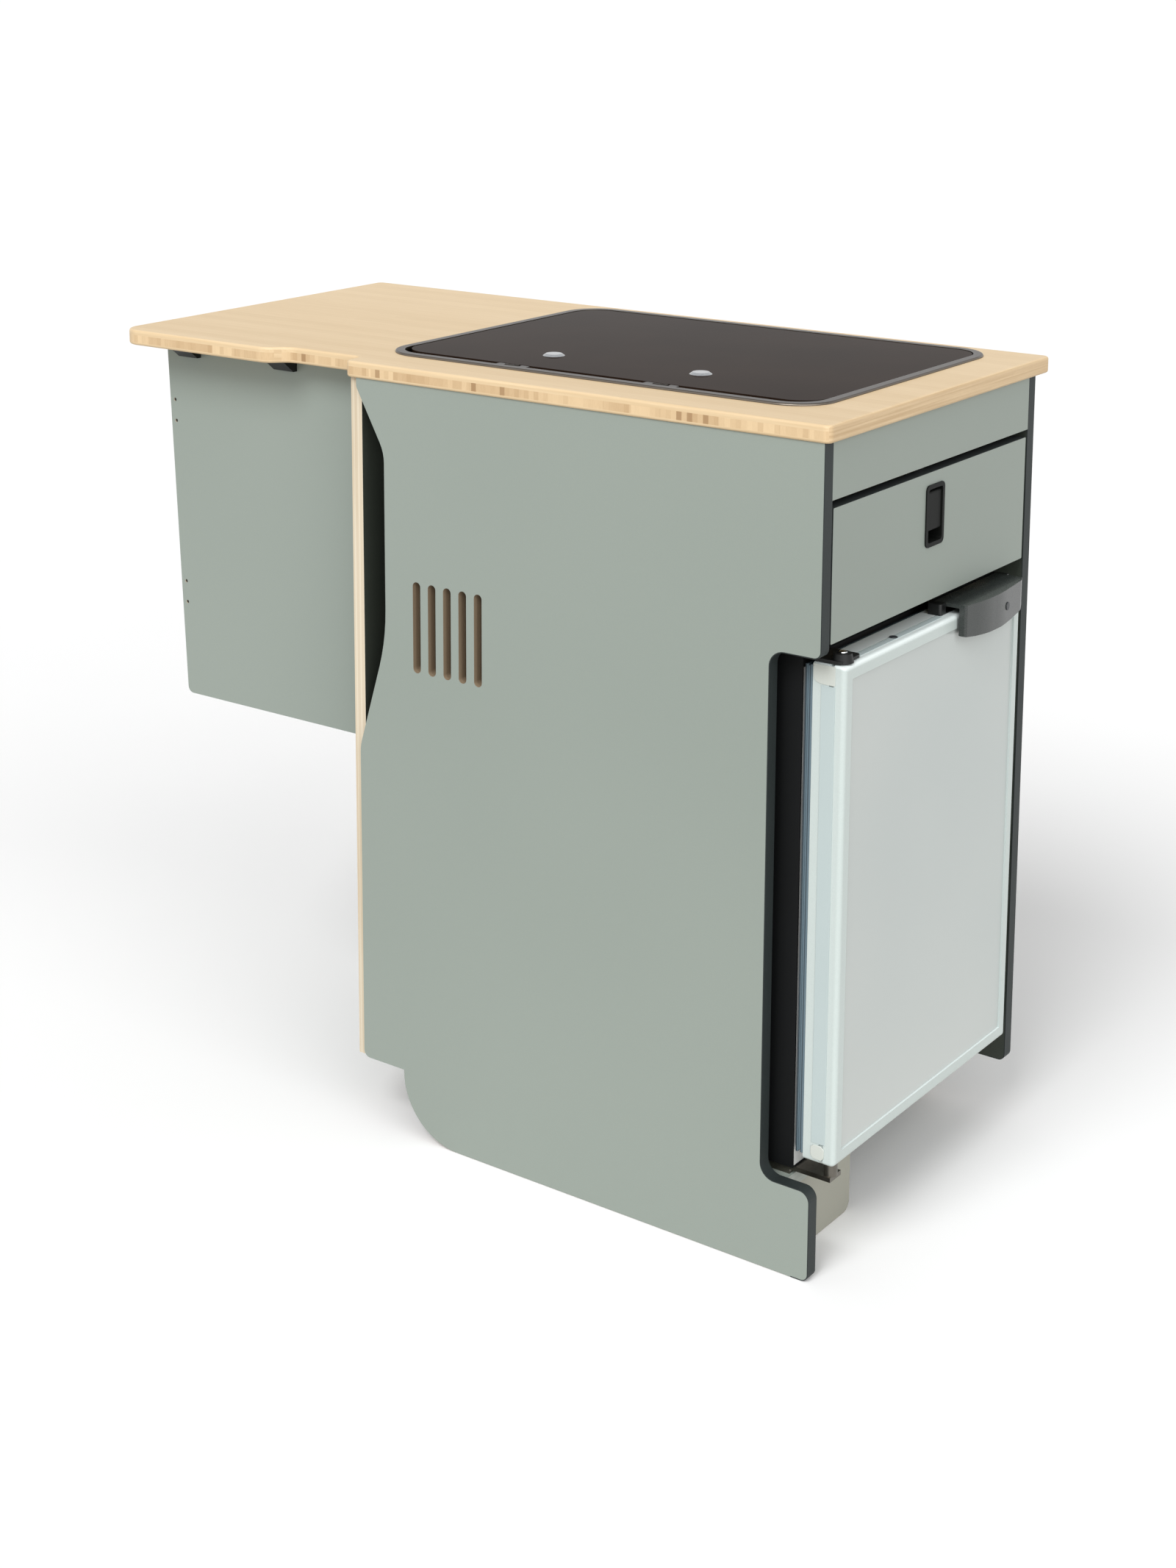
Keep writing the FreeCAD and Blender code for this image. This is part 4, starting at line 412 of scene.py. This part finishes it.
def tray_steel():
    """Bright brushed steel in the bowl and recess; the rim round the glass is dark and dull, with a paler
    painted highlight where its edge is rolled over."""
    finish = new_finish("tray_and_rim_steel")
    height = finish.split(finish.place())[2]
    level = finish.split(finish.facing())[2]
    rim = height > SEAT_LEVEL
    brush = finish.grain(120.0, (1.0, 26.0, 26.0), 3.0)
    bright = finish.mix(brush, shade(166, 166, 163), shade(206, 206, 203))
    dull = finish.mix(brush, shade(44, 36, 30), shade(72, 64, 56))
    # Painted highlight: rim faces that turn away from level, on the rolled edge, get a paler colour.
    dull = finish.mix(level.ramp(0.55, 0.98), shade(112, 105, 97), dull)
    return finish.surface(
        Base_Color=finish.mix(rim, bright, dull),
        Metallic=1.0,
        Roughness=0.2 + 0.14 * brush + rim * 0.08,
        Normal=finish.relief(brush, 0.00002),
    )

metals["tray"] = tray_steel()
print("tray finish ready")

# %% Lid hinges: dull where they lie in the rim, polished at the caps on the glass
LID_KNUCKLE_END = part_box("glass_lid")[0][1] + 0.012

def lid_hinge_steel():
    finish = new_finish("lid_hinge_steel")
    side = finish.split(finish.place())[1]
    cap = side > LID_KNUCKLE_END
    turned = finish.grain(500.0)
    dull = finish.mix(turned, shade(34, 29, 25), shade(58, 52, 46))
    polished = finish.mix(turned, shade(146, 149, 152), shade(186, 189, 192))
    return finish.surface(
        Base_Color=finish.mix(cap, dull, polished),
        Metallic=1.0,
        Roughness=0.34 - cap * 0.24 + 0.04 * turned,
        Normal=finish.relief(turned, 0.000004),
    )

metals["lid_hinge"] = lid_hinge_steel()
print("lid hinges change finish at y", round(LID_KNUCKLE_END, 4))

# %% [markdown]
# # Plastics, rubber and glass
# Moulded plastic has a faint pebble and slight changes in gloss. The door's profile is a satin
# extrusion, its sheet is glossy, and the seal is soft and ribbed. The lid is smoked glass: almost
# black and very smooth, and it lets a little light through, so the sink can be guessed from above.

# %% Moulded plastic
def plastic(name, pale, dark, rough, scale=900.0, relief=0.00003, coat=0.0, gloss=0.5):
    finish = new_finish(name)
    pebble = finish.grain(scale)
    cloud = finish.grain(9.0)
    return finish.surface(
        Base_Color=finish.mix(0.4 * pebble + 0.6 * cloud, dark, pale),
        Roughness=rough + 0.08 * pebble,
        Coat_Weight=coat,
        Specular_IOR_Level=gloss,
        Normal=finish.relief(pebble, relief),
    )

plastics = {
    "edge_band": plastic("slate_edge_band", BAND_PALE, BAND_DARK, 0.5, gloss=0.25),
    "black": plastic("black_latch_plastic", shade(20, 22, 20), shade(11, 12, 11), 0.5, gloss=0.14),
    "knob": plastic("knob_plastic", shade(40, 40, 40), shade(26, 26, 26), 0.4),
    "white": plastic("white_liner_plastic", shade(232, 234, 233), shade(220, 223, 222), 0.3),
    "rubber": plastic("black_rubber", shade(36, 36, 36), shade(24, 24, 24), 0.7, scale=500.0, relief=0.00008),
    "handle": plastic("dark_handle_plastic", shade(52, 57, 55), shade(38, 42, 41), 0.24, coat=0.2),
    "handle_base": plastic("black_handle_base", shade(24, 26, 26), shade(13, 14, 14), 0.3),
    "waste": plastic("waste_plastic", shade(226, 226, 222), shade(208, 208, 204), 0.36),
    "profile_middle": plastic("door_profile_middle", shade(186, 199, 199), shade(176, 190, 191), 0.34,
                              scale=600.0),
    "cap": plastic("cream_corner_cap", shade(205, 210, 204), shade(194, 200, 194), 0.34),
    "plug": plastic("dark_door_plug", shade(46, 50, 54), shade(30, 34, 37), 0.4),
}
print(len(plastics), "plastic finishes")

# %% Door profile, satin at the sides, with painted light and less roughness where it looks up
def door_profile():
    finish = new_finish("door_profile_satin")
    # Faces that look up are painted paler, which is painted light on the top rail; they also get less
    # roughness.
    polished = finish.split(finish.facing())[2].ramp(0.1, 0.7)
    pebble = finish.grain(600.0)
    satin = finish.mix(pebble, shade(190, 202, 200), shade(199, 209, 207))
    return finish.surface(
        Base_Color=finish.mix(polished, satin, shade(232, 241, 240)),
        Roughness=0.32 - 0.12 * polished + 0.08 * pebble,
        Normal=finish.relief(pebble, 0.00003),
    )

plastics["profile"] = door_profile()
print("door profile ready")

# %% Glossy door sheet
def door_sheet():
    finish = new_finish("glossy_door_sheet")
    broad = finish.grain(3.2, detail=1.0)
    orange_peel = finish.grain(260.0)
    return finish.surface(
        Base_Color=finish.mix(broad.ramp(0.3, 0.7), shade(185, 193, 192), shade(194, 200, 198)),
        Roughness=0.14 + 0.05 * orange_peel,
        Normal=finish.relief(orange_peel, 0.00001),
    )

plastics["sheet"] = door_sheet()
print("door sheet ready")

# %% Ribbed seal
SEAL_RIB = 0.0042

def ribbed_seal():
    """Soft ribs run along the seal; the top of each rib is painted pale blue-grey as a highlight, and the
    dark beside it is painted shade.
    """
    finish = new_finish("ribbed_door_seal")
    x = finish.split(finish.place())[0]
    rib_and_painted_light = 1.0 - 2.0 * abs((x / SEAL_RIB).part() - 0.5)
    return finish.surface(
        # Painted highlight on the top of each rib and painted shade between the ribs.
        Base_Color=finish.mix(rib_and_painted_light.ramp(0.2, 0.75), shade(44, 58, 66), shade(112, 132, 143)),
        Roughness=0.5 + 0.1 * finish.grain(300.0),
        Normal=finish.relief(rib_and_painted_light, 0.0004),
    )

plastics["seal"] = ribbed_seal()
print("a rib of the seal is", SEAL_RIB, "m wide")

# %% White liner with painted shade on its front edge
liner_end, _, liner_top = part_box("fridge_liner")[1]
PAINTED_SHADE_FROM = liner_end - 0.0005
PAINTED_SHADE_LOW = liner_top - 0.008

def liner():
    """White inside; the front edge that shows above the door is painted black, which is painted shade for the
    dark gap there.
    """
    finish = new_finish("white_liner_painted_shade_edge")
    x, _, z = finish.split(finish.place())
    # Painted shade: the liner's front edge above the door is painted black.
    painted_shade_lip = (x > PAINTED_SHADE_FROM) * (z > PAINTED_SHADE_LOW)
    pebble = finish.grain(900.0)
    white = finish.mix(pebble, shade(220, 223, 222), shade(232, 234, 233))
    black = finish.mix(pebble, shade(9, 10, 11), shade(15, 17, 18))
    return finish.surface(
        Base_Color=finish.mix(painted_shade_lip, white, black),
        Roughness=0.3 + painted_shade_lip * 0.25 + pebble * 0.08,
        Normal=finish.relief(pebble, 0.00003),
    )

plastics["liner"] = liner()
print("the liner's lip is black above z", round(PAINTED_SHADE_LOW, 4))

# %% Smoked glass
def smoked_glass():
    """A low IOR keeps the white surroundings from greying the glass where it is seen at a slant."""
    finish = new_finish("smoked_lid_glass")
    smear = finish.grain(7.0, detail=3.0)
    return finish.surface(
        Base_Color=finish.mix(smear, shade(34, 24, 18), shade(52, 39, 31)),
        Roughness=0.02 + 0.05 * smear,
        IOR=1.05,
        Specular_IOR_Level=0.2,
        Alpha=0.97,
    )

plastics["glass"] = smoked_glass()
print("smoked glass ready")

# %% [markdown]
# # Dressing the solids
# Each solid keeps its shape and only swaps the material in its slots. A plain table of piece and
# finish is easy to check against the part's list, and a name that is in only one of them is printed.

# %% Which piece wears which finish
worn = dict(boards)
worn.update({
    "panel_edge_bands": plastics["edge_band"], "worktop_brackets": metals["black"],
    "cupboard_hinge_fixed_leaves": metals["zinc"], "cupboard_hinge_door_leaves": metals["zinc"],
    "runner_outer_members": metals["zinc"], "runner_middle_members": metals["zinc"],
    "runner_inner_members": metals["zinc"], "runner_balls": metals["chrome"],
    "fridge_casing": metals["casing"], "fridge_liner": plastics["liner"], "fridge_feet": plastics["rubber"],
    "fridge_shelves": metals["wire"], "freezer_box": metals["freezer"], "freezer_flap": plastics["white"],
    "thermostat_knob": plastics["white"], "cooling_unit": metals["black"], "top_hinge": metals["black"],
    "visible_screws": metals["screw"], "bottom_hinge_bar": metals["bar"],
    "hob_and_sink_tray": metals["tray"], "burner_bodies": metals["burner"], "burner_caps": metals["enamel"],
    "pan_support": metals["grid"], "gas_rail": metals["brass"], "sink_waste": plastics["waste"],
    "tap_base": metals["chrome"], "tap_spout": metals["chrome"], "lid_hinge_blocks": metals["lid_hinge"],
    "lid_buffers": plastics["rubber"], "lid_hinge_arms": metals["lid_hinge"], "glass_lid": plastics["glass"],
    "drawer_latch_housing": plastics["black"], "drawer_latch_paddle": plastics["black"],
    "drawer_latch_bolt": metals["zinc"], "cupboard_latch_housing": plastics["black"],
    "cupboard_latch_paddle": plastics["black"], "cupboard_latch_bolt": metals["zinc"],
    "fridge_door_frame": plastics["profile"], "fridge_door_sheet": plastics["sheet"],
    "fridge_door_lining": plastics["white"], "fridge_door_seal": plastics["seal"],
    "handle_base": plastics["handle_base"], "fridge_handle": plastics["handle"],
    "gas_knob_wall_side": plastics["knob"], "gas_knob_aisle_side": plastics["knob"],
})
for name, piece in nodes.items():
    for slot in piece.material_slots:
        slot.material = worn.get(name, slot.material)
print(len(worn), "solids dressed; left over:", sorted(set(nodes) ^ set(worn)))

# %% [markdown]
# # Small trim
# The fridge door carries trim that is too thin to matter for how it works, so it is modelled here and
# rides on the door: pale caps that close the ends of the side profile, a raised bead between them, an
# inlaid channel along the top and a dark plug in it. A screw head sits on the upper hinge, and a push
# button in the grip. Each piece is a flat outline given a thickness and eased edges, which a plain
# block can't show. The places come from the boxes of the solids.

# %% From an outline to a thin piece
def plate(name, corners, turn, start, thickness, ease=0.0003):
    """A closed outline of u and v, made thickness deep with eased edges, and moved to start. The
    function turn gives the x, y and z of a point at u, v and depth."""
    mesh = bmesh.new()
    base = mesh.faces.new([mesh.verts.new(turn(u, v, 0.0)) for u, v in corners])
    lifted = bmesh.ops.extrude_face_region(mesh, geom=[base])["geom"]
    top = [item for item in lifted if isinstance(item, bmesh.types.BMVert)]
    bmesh.ops.translate(mesh, verts=top, vec=Vector(turn(0, 0, thickness)) - Vector(turn(0, 0, 0)))
    bmesh.ops.recalc_face_normals(mesh, faces=mesh.faces)
    bmesh.ops.translate(mesh, verts=mesh.verts, vec=start)
    data = bpy.data.meshes.new(name)
    mesh.to_mesh(data)
    mesh.free()
    piece = bpy.data.objects.new(name, data)
    bpy.context.scene.collection.objects.link(piece)
    eased = piece.modifiers.new("eased_edges", "BEVEL")
    eased.width = ease
    eased.segments = 2
    eased.limit_method = "ANGLE"
    return piece

def wear(piece, finish, slot, body):
    piece.data.materials.append(finish)
    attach(piece, body)

def on_side(sign):
    """Outlines in x and z on a face that looks along y, towards sign."""
    return lambda u, v, depth: (u, sign * depth, v)

def on_top(u, v, depth):
    """Outlines in x and y on a level face."""
    return (u, v, depth)

def rectangle(wide, high):
    return [(0, 0), (wide, 0), (wide, high), (0, high)]

def round_outline(radius, steps=32):
    angles = [math.tau * step / steps for step in range(steps)]
    return [(radius * math.cos(angle), radius * math.sin(angle)) for angle in angles]

print("outline tools ready")

# %% Outlines of the caps on the door's sides
CAP_LENGTH = 0.0205
CAP_DEEP = 0.025
CAP_INSET = 0.0008
TRIM = 0.0006
UPPER_CAP = [
    (CAP_DEEP, -CAP_INSET), (CAP_INSET, -CAP_INSET), (CAP_INSET, -0.0120), (0.0015, -0.0165),
    (0.0045, -0.0190), (0.0100, -0.0204), (CAP_DEEP, -CAP_LENGTH),
]
LOWER_CAP = [
    (0.0030, 0), (0.0125, 0), (0.0155, 0.0040), (0.0155, 0.0125),
    (0.0120, 0.0155), (0.0035, 0.0155), (0, 0.0125), (0, 0.0040),
]
LOWER_CAP_FROM = 0.009
LOWER_CAP_LIFT = 0.004
LOWER_CAP_TRIM = 0.0012
print("upper cap", CAP_LENGTH, "m high, lower cap", LOWER_CAP_TRIM, "m proud")

# %% Caps and beads on the door's sides
door_low, door_high = (Vector(corner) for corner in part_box("fridge_door_frame"))
BEAD_FROM = 0.0095
BEAD_LIFT = 0.021
BEAD_GAP = 0.001
bead_length = door_high.z - door_low.z - CAP_LENGTH - BEAD_LIFT - BEAD_GAP

for side, sign, y in (("wall", -1, door_low.y), ("aisle", 1, door_high.y)):
    turn = on_side(sign)
    cap = plate(f"door_cap_{side}_top", UPPER_CAP, turn, Vector((door_low.x, y, door_high.z)), TRIM)
    wear(cap, plastics["cap"], "door_profile", "fridge_door")
    start = Vector((door_low.x + BEAD_FROM, y, door_low.z + BEAD_LIFT))
    bead = plate(f"door_bead_{side}", rectangle(CAP_DEEP - BEAD_FROM, bead_length), turn, start, TRIM)
    wear(bead, plastics["profile_middle"], "door_profile", "fridge_door")
    start = Vector((door_low.x + LOWER_CAP_FROM, y, door_low.z + LOWER_CAP_LIFT))
    foot = plate(f"door_cap_{side}_low", LOWER_CAP, turn, start, LOWER_CAP_TRIM, ease=0.0006)
    wear(foot, plastics["cap"], "door_profile", "fridge_door")
print("bead length", round(bead_length, 4), "m")

# %% Channel along the door's top rail
CHANNEL_FROM = 0.0198
CHANNEL_WIDTH = 0.0070
CHANNEL_GAP = 0.001
channel_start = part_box("top_hinge")[1][1] + CHANNEL_GAP
channel_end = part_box("handle_base")[0][1] - CHANNEL_GAP
channel = plate("door_top_channel", rectangle(CHANNEL_WIDTH, channel_end - channel_start), on_top,
                Vector((door_low.x + CHANNEL_FROM, channel_start, door_high.z)),
                thickness=0.0004, ease=0.00015)
wear(channel, plastics["profile_middle"], "door_profile", "fridge_door")
print("channel from y", round(channel_start, 4), "to", round(channel_end, 4))

# %% Plug in the channel
PLUG_SIDE = 0.120
PLUG_FROM = 0.0225
PLUG_LIFT = 0.0003
start = Vector((door_low.x + PLUG_FROM, door_low.y + PLUG_SIDE, door_high.z + PLUG_LIFT))
plug = plate("door_top_plug", round_outline(radius=0.0044), on_top, start, thickness=0.0012, ease=0.0008)
wear(plug, plastics["plug"], "black_plastic", "fridge_door")
print("plug", PLUG_SIDE, "m from the door's hinge side")

# %% Pan-head screw on the upper hinge
joints = {joint["name"]: joint for joint in frame["record"]["behaviour"]["joints"]}
hinge_x, hinge_y = joints["fridge_door_hinge"]["pos_m"][:2]
hinge_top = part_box("top_hinge")[1][2]
screw = plate("hinge_pan_screw", round_outline(radius=0.0046), on_top,
              Vector((hinge_x, hinge_y, hinge_top)), thickness=0.0018, ease=0.0012)
wear(screw, metals["chrome"], "bright_chrome", "carcass")
print("hinge screw at", round(hinge_x, 4), round(hinge_y, 4), round(hinge_top, 4))

# %% Push button in the grip
grip_low, grip_high = (Vector(corner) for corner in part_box("fridge_handle"))
BUTTON_SIDE = 0.097
BUTTON_RISE = 0.0185
FRONT_SETBACK = 0.0017
GRIP_TURN = math.radians(6.1)

def on_grip(u, v, depth):
    """Outlines on the grip's bowed front, which turns a little towards the aisle side here."""
    sine, cosine = math.sin(GRIP_TURN), math.cos(GRIP_TURN)
    return (depth * cosine - u * sine, depth * sine + u * cosine, v)

start = Vector((grip_high.x - FRONT_SETBACK, grip_low.y + BUTTON_SIDE, grip_low.z + BUTTON_RISE))
button = plate("handle_push_button", round_outline(radius=0.0046), on_grip, start,
               thickness=0.0011, ease=0.0006)
wear(button, plastics["plug"], "black_plastic", "door_handle")
print("button at", [round(value, 4) for value in start])

# %% [markdown]
# # Camera
# The photograph was taken from a little above the worktop, off the corner between the long side
# and the fridge front. Yaw, pitch and roll turn the camera. The lens comes from a focal length in
# the photograph's pixels, and a shift puts the object where it stands in the frame.

# %% Where the camera looks
YAW, PITCH, ROLL = math.radians(37.157), math.radians(10.428), -0.00177
back = Vector((math.sin(YAW) * math.cos(PITCH), -math.cos(YAW) * math.cos(PITCH), math.sin(PITCH)))
right = Vector((math.cos(YAW), math.sin(YAW), 0.0))
up = back.cross(right)
turned_right = right * math.cos(ROLL) + up * math.sin(ROLL)
turned_up = up * math.cos(ROLL) - right * math.sin(ROLL)
print("the camera looks along", [round(-value, 3) for value in back])

# %% Camera at the photograph's place
CAMERA_PLACE = Vector((1.60243, -2.24897, 1.34425))
SENSOR = 36.0
PHOTO_HEIGHT = 2133
PHOTO_MIDDLE = Vector((800, 1066.5))
LENS_CENTRE = Vector((685.15, 516.40))
FOCAL_PIXELS = 3392.28
CLIP_END = 200.0
camera = bpy.data.objects.new("camera", bpy.data.cameras.new("camera"))
bpy.context.scene.collection.objects.link(camera)
turning = Matrix((turned_right, turned_up, back)).transposed().to_4x4()
camera.matrix_world = Matrix.Translation(CAMERA_PLACE) @ turning
camera.data.sensor_fit = "VERTICAL"
camera.data.sensor_height = SENSOR
camera.data.lens = FOCAL_PIXELS * SENSOR / PHOTO_HEIGHT
camera.data.shift_x = (PHOTO_MIDDLE.x - LENS_CENTRE.x) / PHOTO_HEIGHT
camera.data.shift_y = (LENS_CENTRE.y - PHOTO_MIDDLE.y) / PHOTO_HEIGHT
camera.data.clip_end = CLIP_END
bpy.context.scene.camera = camera
print("lens", round(camera.data.lens, 2), "mm")

# %% [markdown]
# # Studio
# The picture has a white ground with one soft shadow to the right. Suns light the floor evenly, so
# the floor stays white wherever nothing stands in their way. One soft sun faces the long side and
# throws the shadow behind the unit, a wider one fills the fridge front, and the sky does the rest.

# %% Sky that lights softly and looks white
WHITE = (1.0, 1.0, 1.0, 1.0)
SKY_LIGHT = 0.42
world = bpy.data.worlds.new("studio_sky")
bpy.context.scene.world = world
sky = Finish(world)
lighting = sky.node("ShaderNodeBackground", sockets={"Color": WHITE, "Strength": SKY_LIGHT})
shown = sky.node("ShaderNodeBackground", sockets={"Color": WHITE, "Strength": 1.0})
both = sky.node("ShaderNodeMixShader", sockets={0: sky.looked_at(), 1: lighting, 2: shown})
sky.feed(sky.tree.nodes["World Output"].inputs["Surface"], both)
print("the sky lights at", SKY_LIGHT)

# %% Two soft suns
def sun(name, towards, strength, spread):
    """A sun that shines from the direction towards, soft by its spread in degrees."""
    lamp = bpy.data.objects.new(name, bpy.data.lights.new(name, "SUN"))
    lamp.data.energy = strength
    lamp.data.angle = math.radians(spread)
    lamp.rotation_mode = "QUATERNION"
    lamp.rotation_quaternion = Vector(towards).to_track_quat("Z", "Y")
    bpy.context.scene.collection.objects.link(lamp)
    print(name, "at", strength)

sun("long_side_key", towards=(0.05, -0.72, 0.69), strength=2.00, spread=30.0)
sun("front_fill", towards=(0.76, -0.46, 0.42), strength=1.60, spread=60.0)

# %% A round floor just under the unit
FLOOR_RADIUS = 60.0
FLOOR_DROP = 0.0005
ground = bmesh.new()
bmesh.ops.create_circle(ground, cap_ends=True, segments=96, radius=FLOOR_RADIUS)
floor_mesh = bpy.data.meshes.new("studio_floor")
ground.to_mesh(floor_mesh)
ground.free()
floor = bpy.data.objects.new("studio_floor", floor_mesh)
floor.location.z = -FLOOR_DROP
bpy.context.scene.collection.objects.link(floor)
print("floor at", floor.location.z)

# %% White paper that keeps the shadow, and bounces less light than it shows
PAPER_GLOW = 0.015
paper = new_finish("studio_paper")
pale = paper.mix(paper.grain(3.0), (0.93, 0.93, 0.93, 1.0), (0.95, 0.95, 0.95, 1.0))
shown = paper.node("ShaderNodeAddShader", sockets={
    0: paper.node("ShaderNodeBsdfDiffuse", sockets={"Color": pale}),
    1: paper.node("ShaderNodeEmission", sockets={"Color": WHITE, "Strength": PAPER_GLOW}),
})
bounced = paper.node("ShaderNodeBsdfDiffuse", sockets={"Color": (0.64, 0.61, 0.57, 1.0)})
both = paper.node("ShaderNodeMixShader", sockets={0: paper.looked_at(), 1: bounced, 2: shown})
paper.feed(paper.tree.nodes["Material Output"].inputs["Surface"], both)
floor.data.materials.append(paper.owner)
print("paper glows at", PAPER_GLOW)

# %% [markdown]
# The colour view. The dressed model must stay inside the solids' box.
# The colours go out as they are: the plain Standard view, with no other grading.

# %% The colour view
bpy.context.scene.view_settings.view_transform = "Standard"
